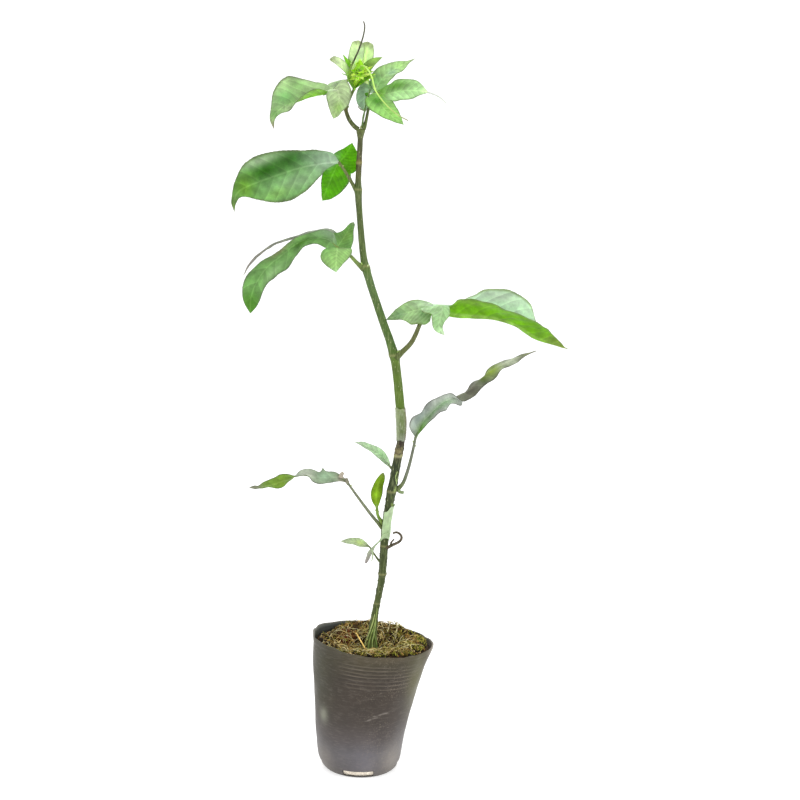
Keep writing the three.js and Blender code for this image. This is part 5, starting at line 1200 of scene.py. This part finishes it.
                 [0.36, 6, 6, 14, 14, 46], [0.43, 5.6, 6, 12, 12, 62], [0.51, 5.6, 5.6, 10, 10, 82],
                 [0.58, 5.8, 5.8, 10, 10, 112], [0.68, 6.2, 6.2, 12, 12, 142], [0.78, 4.8, 4.8, 12, 12, 140],
                 [0.87, 3, 3, 8, 8, 130], [0.91, 2.4, 2.4, 4, 4, 110], [0.95, 2, 2, 4, 4, 140], [1, 0, 0, 0, 0, 150]],
             "faces": [[0, 0, -1, 0.2], [1, 0, -1, 0.2]], "wave": 0.8, "waves": 5, "phase": 0.8, "ruffle": 0.7},
        ],
        "patches": [
            [0, 0.69, 0, 0.1, 9, "under", "#789a30", 0.95],
            [0, 0.05, 0, 0.05, 8, "both", "#a59d90", 0.8],
            [0, 0.24, 1, 0.08, 4, "top", "#a9cba6", 0.8],
            [0, 0.42, 0, 0.08, 8, "top", "#b7bdae", 0.8],
            [0, 0.95, 0, 0.06, 6, "both", "#8a8f78", 0.8],
        ],
        "threads": [
            {"places": [[-17.6, -8.2, 238.8], [-18.6, -8.6, 241], [-18, -8.8, 242.4]], "radii": [1.7, 1.1],
             "tone": "#7c7868"},
            {"places": [[-23.4, -9.4, 243.4], [-22.4, -9.6, 246], [-21, -9.4, 247.2]], "radii": [1.9, 1.3],
             "tone": "#a39a8a"},
        ],
    },
    "leaf_small_low": {
        "root": [12.4, 0.6, 170], "at": [1.4, 1.5, 184.2], "through": [[8.6, 0.8, 174], [4.6, 1.2, 179.4]],
        "stalkRadii": [0.95, 0.7], "finish": waxyLeaf, "stalkTone": "#5e6a40",
        "top": "#b2c29c", "under": "#a3b984", "tip": "#b4bca8", "margin": "#7f916e",
        "lobes": [
            {"line": [[-5.7, -1, 2.4], [-13.9, -2, 4.4], [-24, -3, 4.6]],
             "rows": [[0, 0.5, 0.5, 6, 6], [0.14, 2, 2, 16, 16], [0.36, 3.6, 3.8, 24, 24], [0.6, 3.2, 3.2, 22, 22],
                 [0.84, 1.5, 1.6, 8, 8]],
             "faces": [[0, 0, -0.75, 0.6], [1, 0, -0.8, 0.6]]},
        ],
        "patches": [[0, 0.35, 0, 0.14, 2.4, "both", "#c6d98a", 0.8]],
    },
}


# smooth curves through rows: between two of them the cubic that keeps each row's slope, the mean of its neighbours'
def smoothRows(rows, x):
    rows = np.array(rows, float)
    t, v = rows[:, 0], rows[:, 1:]
    slope = np.gradient(v, t, axis=0)
    i = np.clip(np.searchsorted(t, x, side="right") - 1, 0, len(t) - 2)
    h = (t[i + 1] - t[i])[:, None]
    u = (x - t[i])[:, None] / h
    start = (1 + 2 * u) * (1 - u) ** 2 * v[i] + u * (1 - u) ** 2 * h * slope[i]
    return start + u ** 2 * (3 - 2 * u) * v[i + 1] - u ** 2 * (1 - u) * h * slope[i + 1]


# a lobe made ready: its midrib as a smooth line evened out by length, and its rows as smooth curves over that length
def readyLobe(lobe, root):
    tip = [] if lobe["rows"][-1][0] == 1 else [[1, 0, 0, 0, 0]]
    rows = [row + [0] * (6 - len(row)) for row in lobe["rows"] + tip]
    even = np.linspace(0, 1, 301)
    middle = through([lobe.get("from", [0, 0, 0]), *lobe["line"]], 400) + root
    far = runLength(middle)
    ready = {"wave": 0, "waves": 3, "phase": 0, "ruffle": 0.5, "middle": middle, "length": far[-1],
        "far": far / far[-1]}
    return dict(ready, **lobe, curves=np.column_stack([even, smoothRows(rows, even)]))


# the place on a lobe's midrib at the share t of its length
def midrib(lobe, t):
    return readAt(t, lobe["far"], lobe["middle"])


# a value of the lobe's rows at t, on the left (column and the side below nought) or on the right (one column on)
def curveAt(lobe, t, column, right):
    curves = lobe["curves"]
    value = [np.interp(t, curves[:, 0], curves[:, k]) for k in (column, column + 1)]
    return np.where(right, value[1], value[0])


# the width of a lobe's left or right half at t
def halfWidth(lobe, t, right):
    return np.maximum(curveAt(lobe, t, 1, right), 0)


# the place a along the midrib and w across: out to the side by w cos(fold), up by w sin(fold) and the wave,
# all turned about the midrib by the roll; a half bends back a little towards its margin
def onLobe(lobe, a, w):
    t = a / lobe["length"]
    tangent = unit(midrib(lobe, np.minimum(t + 0.012, 1)) - midrib(lobe, np.maximum(t - 0.012, 0)))
    faces = np.array(lobe["faces"], float)
    face = readAt(t, faces[:, 0], faces[:, 1:])
    normal = unit(face - (face * tangent).sum(1, keepdims=True) * tangent)
    side = np.cross(tangent, normal)
    roll = np.radians(np.interp(t, lobe["curves"][:, 0], lobe["curves"][:, 5]))[:, None]
    normal, side = normal * np.cos(roll) + side * np.sin(roll), side * np.cos(roll) - normal * np.sin(roll)
    share = np.abs(w) / np.maximum(halfWidth(lobe, t, w > 0), 1.5)
    fold = np.radians(curveAt(lobe, t, 3, w > 0)) * (1.12 - 0.24 * np.minimum(share, 1.3))
    wave = np.sin(2 * np.pi * lobe["waves"] * t + (1 + np.sign(w)) * lobe["phase"])
    rise = np.abs(w) * np.sin(fold) + lobe["wave"] * np.minimum(share, 1.2) ** 2 * wave
    return midrib(lobe, t) + side * (w * np.cos(fold))[:, None] + normal * rise[:, None]


# a whole leaf: two halves for each lobe as grids of (along, across); lobe 0 shares a web with lobes 1 and 2.
# Each point keeps its marks: lobe, t, across, share of the half width, rib count, joined share, rib step, ruffle and
# along
def leafGrid(leaf, root, grain):
    lobes = [readyLobe(lobe, root) for lobe in leaf["lobes"]]
    web = leaf.get("web", 0) if len(lobes) > 1 else 0
    spread = math.radians(leaf.get("spread", 60))
    sinus, edge = web * math.cos(spread / 2), web * math.sin(spread / 2)
    webRows = math.ceil(sinus / grain) if web else 0
    mates = {(0, 1): 1, (0, -1): 2, (1, -1): 0, (2, 1): 0} if web else {}  # the lobe that shares a half's web
    points, marks, tris, same, starts, start = [], [], [], [], {}, 0
    for i, lobe in enumerate(lobes):
        length = lobe["length"]
        widest = lobe["curves"][:, 1:3].max()
        rows = webRows + max(int((length - sinus) / grain), 16)
        cols = max(int(widest / (0.85 * grain)), 6)
        inWeb = np.linspace(0, sinus, webRows, endpoint=False)
        steps = np.concatenate([inWeb, np.linspace(sinus, length, rows - webRows + 1)])
        t = steps / length
        window = ease(t, 0.06, 0.18) * (1 - ease(t, 0.8, 0.95)) * ease(steps, sinus, sinus + 5)
        teeth = min(0.016 * widest, 0.3) * ((steps / max(length / 30,
            2.2)) % 1) * window  # saw teeth that point to the tip
        for sign in (-1, 1):
            mate = mates.get((i, sign))
            half = halfWidth(lobe, t, sign > 0) + teeth
            if mate is not None:
                gap = edge - halfWidth(lobe, sinus / length, sign > 0)
                beyond = gap * np.exp(-(steps - sinus) / (0.12 * length)) * (length - steps) / (length - sinus)
                half = np.where(steps <= sinus + 1e-9, steps * math.tan(spread / 2), np.maximum(half + beyond, 0))
            v = np.linspace(0, 1, cols + 1)
            a, w = np.repeat(steps, cols + 1), np.outer(half, v).ravel()
            p = onLobe(lobe, a, w * sign)
            joined = np.zeros(len(a))
            if mate is not None:
                rho, theta = np.hypot(a, w), np.arctan2(w, np.maximum(a, 1e-9))
                joined = 0.5 * np.clip(theta / (spread / 2), 0, 1) ** 2 * (1 - ease(rho, web, 2 * web))
                along = np.maximum(rho * np.cos(spread - theta), 0)
                other = onLobe(lobes[mate], along, -sign * rho * np.sin(spread - theta))
                p = p + (other - p) * joined[:, None]
            ribStep = np.clip(length / 8.5, 3.2, 12)
            count = (a - 0.75 * w - 0.012 * w * w + 1.2 * np.sin(a / 9 + sign)) / ribStep
            r, c = [g.ravel() for g in np.meshgrid(np.arange(rows), np.arange(cols), indexing="ij")]
            q = start + r * (cols + 1) + c
            corners = [q, q + cols + 1, q + cols + 2, q + 1]
            tris += quads(*(corners[::-1] if sign > 0 else corners))
            grid = np.arange(start, start + len(a)).reshape(rows + 1, cols + 1)
            twin = grid.copy()
            if sign > 0:
                twin[:, 0] = starts[i, -1][:, 0]  # both halves share the midrib
            if mate == 0:
                twin[:webRows + 1, -1] = starts[0, -sign][:webRows + 1, -1]  # and neighbours share the web
            twin[0] = 0
            twin[-1] = starts[i, -1][-1, 0] if sign > 0 else grid[-1, 0]
            starts[i, sign] = grid
            same.append(twin.ravel())
            points.append(p)
            ones = np.ones(len(a))
            share = np.tile(v, rows + 1)
            columns = [i * ones, a / length, w * sign, share, count, joined, ribStep * ones, lobe["ruffle"] * ones, a]
            marks.append(np.stack(columns, 1))
            start += len(a)
    return np.concatenate(points), np.concatenate(marks), np.concatenate(tris), np.concatenate(same)


# a thin closed blade: the middle surface moved out both ways, embossed by ribs and ruffled at the margin, then walled
def thickBlade(leaf, root, thick, grain, seed):
    points, marks, raw, same = leafGrid(leaf, root, grain)
    tris = same[raw]
    good = (tris[:, 0] != tris[:, 1]) & (tris[:, 1] != tris[:, 2]) & (tris[:, 0] != tris[:, 2])
    tris, raw = tris[good], raw[good]
    facing = np.cross(points[tris[:, 1]] - points[tris[:, 0]], points[tris[:, 2]] - points[tris[:, 0]])
    normals = np.zeros_like(points)
    for k in range(3):
        np.add.at(normals, tris[:, k], facing)
    normals = unit(normals)
    t, w, share, count, joined, ribStep, ruffle, a = marks.T[1:]
    toRib = np.abs((count % 1) - 0.5) * ribStep
    inner = (1 - share ** 3) * ease(np.abs(w), 0.3, 2.5) * (1 - 2 * joined)
    depth = np.minimum(ribStep / 12, 1)
    quilt = depth * inner * (0.3 - 0.5 * bell(toRib, 0.2 * ribStep + 0.4))
    wavy = np.sin(a * 0.42 + seed + 2 * np.sign(w)) + 0.6 * np.sin(a * 0.23 + 2 * seed)
    wavy = wavy * ruffle * share ** 3 * (1 - 2 * joined) * np.sin(np.pi * np.clip(t, 0, 1))
    middle = quilt + wavy + 0.15 * ripple(points, 9, seed, 2)
    keel = 0.75 * depth * (1 - 0.75 * t) * bell(w, 0.75 * depth + 0.25)
    groove = 0.4 * keel
    full = thick * (1 - 0.55 * share ** 4)
    up, down = middle + full / 2 - groove, middle - full / 2 - keel
    above, below = points + normals * up[:, None], points + normals * down[:, None]
    n = len(points)
    edges, rawEdges = (np.concatenate([faces[:, [0, 1]], faces[:, [1, 2]], faces[:, [2, 0]]]) for faces in (tris, raw))
    rim = ~np.isin(edges[:, 0] * n + edges[:, 1], edges[:, 1] * n + edges[:, 0])
    shell, rawShell = shellFaces(tris, edges[rim], n), shellFaces(raw, rawEdges[rim], n)
    both = np.concatenate([above, below])
    used, packed = np.unique(shell, return_inverse=True)
    return both[used], packed.reshape(shell.shape), rawShell.ravel(), marks


# leaf colours at every corner: top or under by side, blending to the tip, darker at the margin, with named patches,
# and mottled over 8 and 20 mm
def paintLeaf(leaf, marks, corners, seed):
    lobe, t, w, share, joined, a = marks.T[[0, 1, 2, 3, 5, 8]]
    sides = []
    flat = np.column_stack([a, w, lobe * 40])
    mottle = 1 + 0.14 * ripple(flat, 20, seed, 2) + 0.14 * ripple(flat, 8, seed + 5, 2)
    # each side's tone holds painted light: painted sheen on the top, painted light shining through on the underside
    for side in ("top", "under"):
        tones = np.zeros((len(t), 3))
        for i, own in enumerate(leaf["lobes"]):
            here = lobe == i
            toTip = ease(t[here], own.get("tipFrom", 0.8), 1.0) * 0.9
            tones[here] = mixTones(plain(own.get(side, leaf[side]), t[here]), linear(own.get("tip", leaf["tip"])),
                toTip)
        tones = mixTones(tones, linear(leaf[side]), 2 * joined)
        for onWhich, along, across, reachAlong, reachAcross, shown, tone, amount in leaf.get("patches", []):
            if shown in (side, "both"):
                near = bell(t - along, reachAlong) * bell(w - across, reachAcross) * (lobe == onWhich)
                tones = mixTones(tones, linear(tone), amount * near)
        edge = ease(share, 0.86, 0.98) * (1 - 2 * joined) * ease(a, 4, 9)
        tones = mixTones(tones, linear(leaf["margin"]), 0.8 * edge)
        sides.append(tones * mottle[:, None])
    return np.concatenate(sides)[corners]


# a blade ready to join others: its points, triangles and tones, and the rib numbers of its corners
def paintedBlade(leaf, root, thick, grain, seed):
    points, tris, corners, marks = thickBlade(leaf, root, thick, grain, seed)
    return (points, tris, paintLeaf(leaf, marks, corners, seed)), marks[:, [4, 2]][corners % len(marks)]


# blades joined into one piece, each corner with its rib numbers
def joinBlades(name, blades, node, slotName, finish):
    bodies, ribs = zip(*blades)
    makePiece(name, *gather(bodies), [node], slotName, finish, np.concatenate(ribs))


def makeBlade(name, node, leaf, thick, grain, seed, slotName):
    parts = [leaf] + [dict(leaf, lobes=[extra], patches=[]) for extra in leaf.get("extraLobes", [])]
    blades = [paintedBlade(part, vec(*leaf["at"]), thick, grain, seed + k) for k, part in enumerate(parts)]
    joinBlades(name, blades, node, slotName, leaf["finish"])


stalkSet = {
    "steps": 40, "sides": 16, "grooved": 0.13, "foot": 0.4, "runsOn": 10, "gland": 0.5, "glandAt": [0.84, 0.9],
    "glandTone": "#8d9a5c",
    "tone": "#565e34", "footTone": "#495624", "headTone": "#62783e",
}


# a stalk: radius from the first to the second value, swollen at its foot, flattened by a groove along its upper side;
# it runs on behind the blade, seen from the front
def makeStalk(name, node, leaf, seed, slotName):
    s = stalkSet
    tone = leaf.get("stalkTone", s["tone"])
    lobe = readyLobe(leaf["lobes"][0], vec(*leaf["at"]))
    run = s["runsOn"] / lobe["length"]
    head, sides = s["steps"], s["sides"]
    first = through([leaf["root"], *leaf.get("through", []), leaf["at"]], head)
    path = np.concatenate([first, midrib(lobe, np.linspace(0, run, 10)[1:])])
    path[1:-1] = (path[:-2] + 2 * path[1:-1] + path[2:]) / 4
    far = runLength(path)
    r0, r1 = leaf["stalkRadii"]
    normal = unit(vec(*leaf["lobes"][0]["faces"][0][1:]))
    path[head + 1:] += (normal if normal[1] > 0.5 else -normal) * (r1 * np.linspace(0.3, 1, 9))[:, None]
    length = far[head]
    radii = r0 + (0.9 * r1 - r0) * np.clip(far / length, 0, 1) - 0.5 * r1 * ease(far, length + 2, far[-1])
    radii = radii + s["foot"] * r0 * bell(far, 4.5) + 0.12 * bell(far - length, 2)
    points, tris = tube(path, radii, sides, lambda turn: 1 - s["grooved"] * bell(turnFrom(turn, np.pi / 2), 0.45))
    points += unit(points - points.mean(0)) * (0.06 * ripple(points, 3.2, seed, 2))[:, None]
    share = np.append(np.repeat(far / far[-1], sides), [0, 1])
    tones = toneAlong([[0, s["footTone"]], [0.3, tone], [0.8, tone], [1, s["headTone"]]], share)
    bodies = [(points, tris, uneven(tones, 0.2, points, 5, seed))]
    if r0 > 1.15:
        # a pair of nectar glands near the blade: small domed cups on the stalk's sides
        ball, turn = np.linspace(0.05, np.pi - 0.05, 9)[:, None], circle(12)
        cup = np.stack([np.sin(ball) * np.cos(turn), np.sin(ball) * np.sin(turn), -np.cos(ball) * (1 + 0 * turn)], -1)
        shape, faces = skin(cup)
        for k, place in enumerate(s["glandAt"]):
            step = int(place * head)
            way = unit(np.cross(unit(path[step + 1] - path[step]), vec(0.1, 1, 0.3))) * (r1 * 0.95) * (1 if k else -1)
            bodies.append((shape * s["gland"] * (r1 + 0.3) + path[step] + way, faces, plain(s["glandTone"], shape)))
    for thread in leaf.get("threads", []):
        radii = np.linspace(*thread["radii"], 31) * (1 + 0.08 * np.sin(np.arange(31) * 0.9))
        verts, faces = tube(through(thread["places"], 30), radii, 10)
        bodies.append((verts, faces, plain(thread.get("tone", tone), verts)))
    makePiece(name, *gather(bodies), [node], slotName, stalkSkin)


# blades: thickness and the size of their faces
bladeSet = {"large": (0.6, 0.95), "small": (0.5, 0.55), "tuft": (0.4, 0.6)}
slotOf = {"leaf_right_twisted": "leaf_grey", "leaf_left_twisted": "leaf_grey", "leaf_small_upright": "leaf_young"}
for number, (node, leaf) in enumerate(leafTable.items()):
    label = "".join(word.capitalize() for word in node.split("_")[1:])
    slotName = slotOf.get(node, "leaf_green")
    size = bladeSet["small" if node.startswith("leaf_small") else "large"]
    makeBlade("blade" + label, node, leaf, *size, number + 1, slotName)
    makeStalk("stalk" + label, node, leaf, number + 1, slotName)
    print("leaf made:", node)

# shoot tip: young leaves round the growing point, folded leaflets inside them, and two tendrils
tuftSet = {
    "base": [-21.9, 0, 547.4],
    "blades": [
        {"line": [[-0.6, 4, 12.3], [0.6, 6, 24], [2.4, 6.4, 36.6]], "half": 5.9, "blunt": True,
         # the three outer blades' near-white tops are partly their own pale colour and partly painted highlight
         "face": [0.1, -0.9, 0.1], "fold": 12, "top": "#e6f6d4", "base": "#b8f050"},
        {"line": [[4.8, 5, 12.6], [8.2, 8, 24.6], [9.2, 8, 36.2]], "half": 6.2, "blunt": True,
         "face": [-0.2, -0.9, 0.1], "fold": 10, "top": "#dff2c8", "base": "#a8ea3c"},
        {"line": [[-4.7, -4, 8.5], [-10.8, -8, 15.4], [-18.9, -9, 20.2]], "half": 5.8, "blunt": True,
         "face": [0.4, -0.6, 0.7], "fold": 30, "top": "#dde8cc", "base": "#96dc34"},
        {"line": [[6.7, -2, 9.8], [13.4, -4, 18.2], [21.3, -6, 23.6]], "half": 7.6, "face": [-0.5, -0.6, 0.6],
         "fold": 10, "top": "#a4c868", "base": "#7cc022"},
        {"line": [[-3, -6, 5.4], [-5.4, -10, 12.2]], "half": 4.4, "face": [0.3, -0.8, 0.5], "fold": 24,
         "top": "#9cc45c", "base": "#6aa032"},
        {"line": [[7.7, -6, 5.8], [16.1, -10, 10.9]], "half": 3.6, "face": [-0.3, -0.8, 0.5], "fold": 26,
         "top": "#a4d84a", "base": "#7cc022"},
        {"line": [[-3.5, 0, 13.4], [-8.9, -1, 25]], "half": 3.4, "face": [0.5, -0.8, 0], "fold": 34, "top": "#9ccf48",
         "base": "#8ccf30"},
        {"line": [[-2.4, 2, 12.1], [-4.8, 3, 23]], "half": 3, "face": [0.5, -0.8, 0], "fold": 34, "top": "#94cc30",
         "base": "#86cc20"},
        {"line": [[-2.6, 10, 9], [-5, 16, 18]], "half": 4.4, "face": [0.2, 0.8, 0.4], "fold": 24, "top": "#9cc272",
         "base": "#7cc02e"},
        {"line": [[1, 7, 12], [4, 13, 22]], "half": 4, "face": [-0.2, 0.8, 0.4], "fold": 24, "top": "#94bc68",
         "base": "#7cbc2e"},
    ],
    "outerTip": "#aab58c", "margin": "#93a86c", "axisTone": "#9bd03c", "footTone": "#8fc040",
    "leaflets": 24, "leafletReach": [12, 20], "lean": [5.5, -1, 2.5], "heart": [4.5, -4, 10], "heartLeaflets": 30,
    "heartReach": 11, "leafletTones": ["#e8ff74", "#f0ff9c", "#d8ff50", "#f2ffcc", "#c4f63c"],
    "tendrils": [
        {"places": [[-21.8, -0.5, 548.5], [-24.6, -6, 553], [-25.3, -8.5, 559.6], [-21.7, -8, 568.6],
             [-18.2, -5, 577.7], [-15.8, -2, 586.8], [-15, -0.5, 593.6], [-16, 0, 597.6]], "radii": [0.9, 0.5],
         "start": "#7fae2a", "tone": "#34321f", "end": "#45422c"},
        {"places": [[-20.6, -2, 551], [-19.6, -5, 559], [-16.4, -8, 563.8], [-11.9, -12, 561.4], [-8, -17, 555],
             [-4.6, -22, 544.6], [3.2, -27, 534.7], [12.4, -31, 527], [20.6, -34, 522.7]], "radii": [0.85, 0.42],
         "tone": "#b2da68", "end": "#8a8468"},
        {"places": [[-21, -3, 551], [-16.6, -7, 556], [-14.4, -9, 558.6], [-10.6, -10, 560.4]], "radii": [0.6, 0.35],
         "tone": "#b5e04c", "end": "#b5e04c"},
        {"places": [[-23, -3, 552], [-27, -7, 556], [-31, -9, 557.4]], "radii": [0.6, 0.35], "tone": "#b9d98c",
         "end": "#b9d98c"},
    ],
}

# half widths along a plain leaf, as shares of the widest
plainRows = {
    False: [[0, 0.25], [0.12, 0.55], [0.3, 0.92], [0.48, 1], [0.66, 0.84], [0.82, 0.52], [0.93, 0.22], [1, 0]],
    True: [[0, 0.25], [0.12, 0.6], [0.3, 0.9], [0.5, 1], [0.72, 1], [0.88, 0.9], [0.96, 0.66], [1, 0.1]],
}


# a plain young leaf as one lobe: half widths by those shares, one fold and one facing throughout
def plainLeaf(blade):
    half, fold = blade["half"], blade["fold"]
    rows = [[t, half * w, half * w, fold, fold] for t, w in plainRows[blade.get("blunt", False)]]
    return dict(blade, rows=rows, faces=[[0, *blade["face"]], [1, *blade["face"]]], ruffle=0.3)


def makeTuft():
    s = tuftSet
    base = vec(*s["base"])
    leafletTones = s["leafletTones"]
    # leaflets are dealt round the growing point by the golden angle, each steeper than the last
    inner = []
    for k in range(s["leaflets"]):
        around, steep = k * 2.4 + 0.5, 0.45 + 1.0 * k / s["leaflets"]
        near, far = s["leafletReach"]
        reach = (far - (far - near) * (k * 7 % 10) / 10) * (0.7 + 0.25 * steep)
        flat = math.cos(steep)
        way = vec(math.cos(around) * flat, math.sin(around) * flat, math.sin(steep)) * reach + s["lean"]
        curl = vec(-way[1], way[0], 0) * 0.12 * math.sin(k * 1.7)
        inner.append({
            "line": [(way * 0.5 + curl + vec(0, 0, 2)).tolist(), way.tolist()], "half": 3.0 + 0.5 * (k % 4), "fold": 26,
            "face": (vec(0, 0, 9) - way * vec(1, 1, 0)).tolist(),
            "top": leafletTones[k % 5], "base": leafletTones[(k + 2) % 5],
        })
    # and shorter ones open from a heart above it, spread evenly over a ball by the same angle
    heart = vec(*s["heart"])
    for k in range(s["heartLeaflets"]):
        high = 1 - 1.7 * (k + 0.5) / s["heartLeaflets"]
        wide = math.sqrt(1 - high * high)
        way = vec(math.cos(k * 2.4) * wide, math.sin(k * 2.4) * wide,
            high) * s["heartReach"] * (0.75 + 0.06 * (k * 3 % 7))
        curl = vec(-way[1], way[0], 1) * 0.12 * math.sin(k * 1.3)
        inner.append({
            "from": heart.tolist(), "line": [(heart + way * 0.5 + curl).tolist(), (heart + way).tolist()],
            "half": 2.9 + 0.4 * (k % 4), "fold": 18, "face": (vec(0, -6, 6) - way * 0.8).tolist(),
            "top": leafletTones[k * 2 % 5], "base": leafletTones[(k + 1) % 5],
        })
    blades = []
    for j, blade in enumerate(s["blades"] + inner):
        top = blade["top"]
        leaf = {
            "lobes": [plainLeaf(blade)], "top": top, "under": top, "tip": s["outerTip"] if j < 3 else top,
            "margin": s["margin"], "patches": [[0, 0.1, 0, 0.3, 12, "both", blade["base"], 0.95]],
        }
        blades.append(paintedBlade(leaf, base, *bladeSet["tuft"], 90 + j))
    joinBlades("shootLeaves", blades, "shoot_tip", "leaf_young", freshLeaf)
    stems = []
    axis = bend(base + vec(0, 0, 2), base + s["heart"], vec(-0.8, 0, 0.8), 10)
    foot = bend(base + vec(0.2, 0, -1.6), base + vec(0, 0, 4), vec(0, 0, 0), 10)
    swollen = np.interp(np.linspace(0, 1, 11), [0, 0.5, 1], [1.15, 1.6, 0.7])
    for line, radii, sides, tone in (
            (axis, np.linspace(1.3, 0.9, 11), 12, s["axisTone"]), (foot, swollen, 16, s["footTone"])):
        verts, faces = tube(line, radii, sides)
        stems.append((verts, faces, plain(tone, verts)))
    steps, sides = 90, 10
    for tendril in s["tendrils"]:
        line = through(tendril["places"], steps)
        verts, faces = tube(line, np.linspace(*tendril["radii"], steps + 1), sides)
        share = np.append(np.repeat(np.linspace(0, 1, steps + 1), sides), [0, 1])
        tone = tendril["tone"]
        tones = toneAlong([[0.2, tendril.get("start", tone)], [0.42, tone], [0.7, tone], [1, tendril["end"]]], share)
        stems.append((verts, faces, uneven(tones, 0.2, verts, 9, 97)))
    makePiece("shootTendrils", *gather(stems), ["shoot_tip"], "leaf_young", stalkSkin)


# the curled old tendril beside the torn film
curlSet = {
    "main": [[14.2, -2, 184.6], [17, -4.4, 186.2], [20.4, -5.8, 188.6], [24.4, -7, 191], [26.9, -7.6, 194],
        [26.4, -7.6, 197.2], [23.2, -7, 199.2], [20, -6.6, 198.4]],
    "prong": [[18.8, -5, 187.6], [18.9, -6.6, 190.6], [21, -7.6, 193.6]],
    "tones": ["#35321f", "#4c4334"],
}


def makeCurl():
    s = curlSet
    bodies = []
    for places, radii, count in ((s["main"], [1.35, 0.85], 80), (s["prong"], [1.0, 0.6], 24)):
        radii = np.linspace(*radii, count + 1) * (1 + 0.1 * np.sin(np.arange(count + 1) * 1.3))
        verts, faces = tube(through(places, count), radii, 12)
        pick = ease(ripple(verts, 5, 99, 2), -0.4, 0.4)
        bodies.append((verts, faces, mixTones(plain(s["tones"][0], verts), linear(s["tones"][1]), pick)))
    makePiece("oldTendril", *gather(bodies), ["tendril_low"], "old_tendril", tendrilSkin)


# buds sit in the angles of the stalks: a teardrop, round below and pointed above
budSet = [
    {"at": [18.6, -1.4, 344.5], "way": [0.8, -0.2, 1], "size": 1.5, "tone": "#86a05a"},
    {"at": [-11.6, -1.6, 412.6], "way": [-0.5, -0.3, 1], "size": 1.4, "tone": "#a3c068"},
    {"at": [-7.3, -1.9, 411.6], "way": [0.7, -0.4, 0.9], "size": 1.2, "tone": "#b5c98c"},
    {"at": [-18, -1.0, 473], "way": [-0.5, -0.3, 1], "size": 1.2, "tone": "#8fa85c"},
    {"at": [15, -2.6, 206.5], "way": [-0.6, -0.4, 1], "size": 1.3, "tone": "#8aa75a"},
    {"at": [-15.7, -1.2, 517.2], "way": [0, -0.2, 1], "size": 1.5, "tone": "#8f9a5c"},
    {"at": [-26, -1.6, 532.6], "way": [0.6, 0, 1], "size": 1.0, "tone": "#8fae4e"},
]


def makeBuds():
    rise, turn = np.linspace(0, 1, 14)[:, None], circle(12)
    radius = 0.62 * np.sqrt(rise + 0.004) * (1.001 - rise) ** 0.8 * 1.7
    rings = np.stack([radius * np.cos(turn), radius * np.sin(turn), (rise * 2.2 - 0.5) * (1 + 0 * turn)], -1)
    shape, faces = skin(rings)
    bodies = []
    for bud in budSet:
        up = unit(vec(*bud["way"]))
        side = unit(np.cross(vec(0, 1, 0), up))
        stand = np.stack([side, np.cross(up, side), up], 1)
        bodies.append((shape @ stand.T * bud["size"] + vec(*bud["at"]), faces, plain(bud["tone"], shape)))
    makePiece("axilBuds", *gather(bodies), [], "green_stem", stalkSkin)


makeTuft()
makeCurl()
makeBuds()
print("shoot tip, tendrils and buds made")

# floor and light: a pale floor that glows a little, so that the pot throws no dark ring, under a soft white sky, with
# soft boxes behind and in front
stageSet = {
    "floor": "#cfcfcf", "floorGlow": 0.5, "floorSize": 80.0, "sky": "#ffffff", "skyStrength": 1.25,
    "boxes": [
        {"name": "backBox", "place": (-0.35, 1.0, 1.5), "aim": (0, 0, 0.4), "size": 1.4, "power": 12},
        {"name": "frontBox", "place": (-0.9, -1.3, 1.3), "aim": (0, 0, 0.3), "size": 1.2, "power": 3},
        {"name": "rightBox", "place": (1.4, -0.5, 0.9), "aim": (0, 0, 0.3), "size": 1.0, "power": 4},
    ],
}


def makeStage():
    s = stageSet
    finish, add = newFinish("paleMattFloor")
    add("OutputMaterial", [add("BsdfPrincipled", {
        "Base Color": colour(s["floor"]), "Roughness": 0.9, "Specular IOR Level": 0.1,
        "Emission Color": colour(s["sky"]), "Emission Strength": s["floorGlow"]})])
    mesh = bpy.data.meshes.new("paleFloor")
    d = s["floorSize"] / 2
    mesh.from_pydata([(-d, -d, 0), (d, -d, 0), (d, d, 0), (-d, d, 0)], [], [(0, 1, 2, 3)])
    mesh.materials.append(finish)
    floor = bpy.data.objects.new("paleFloor", mesh)
    bpy.context.scene.collection.objects.link(floor)
    world = bpy.data.worlds.new("softSky")
    world.use_nodes = True
    glow = world.node_tree.nodes["Background"].inputs
    glow["Color"].default_value, glow["Strength"].default_value = colour(s["sky"]), s["skyStrength"]
    bpy.context.scene.world = world
    for box in s["boxes"]:
        light = bpy.data.lights.new(box["name"], "AREA")
        light.size, light.energy, light.shape = box["size"], box["power"], "DISK"
        lamp = bpy.data.objects.new(box["name"], light)
        bpy.context.scene.collection.objects.link(lamp)
        lamp.location = box["place"]
        lamp.rotation_euler = (Vector(box["aim"]) - Vector(box["place"])).to_track_quat("-Z", "Y").to_euler()


makeStage()
bpy.context.scene.view_settings.view_transform = "Standard"
print("floor and lights placed")
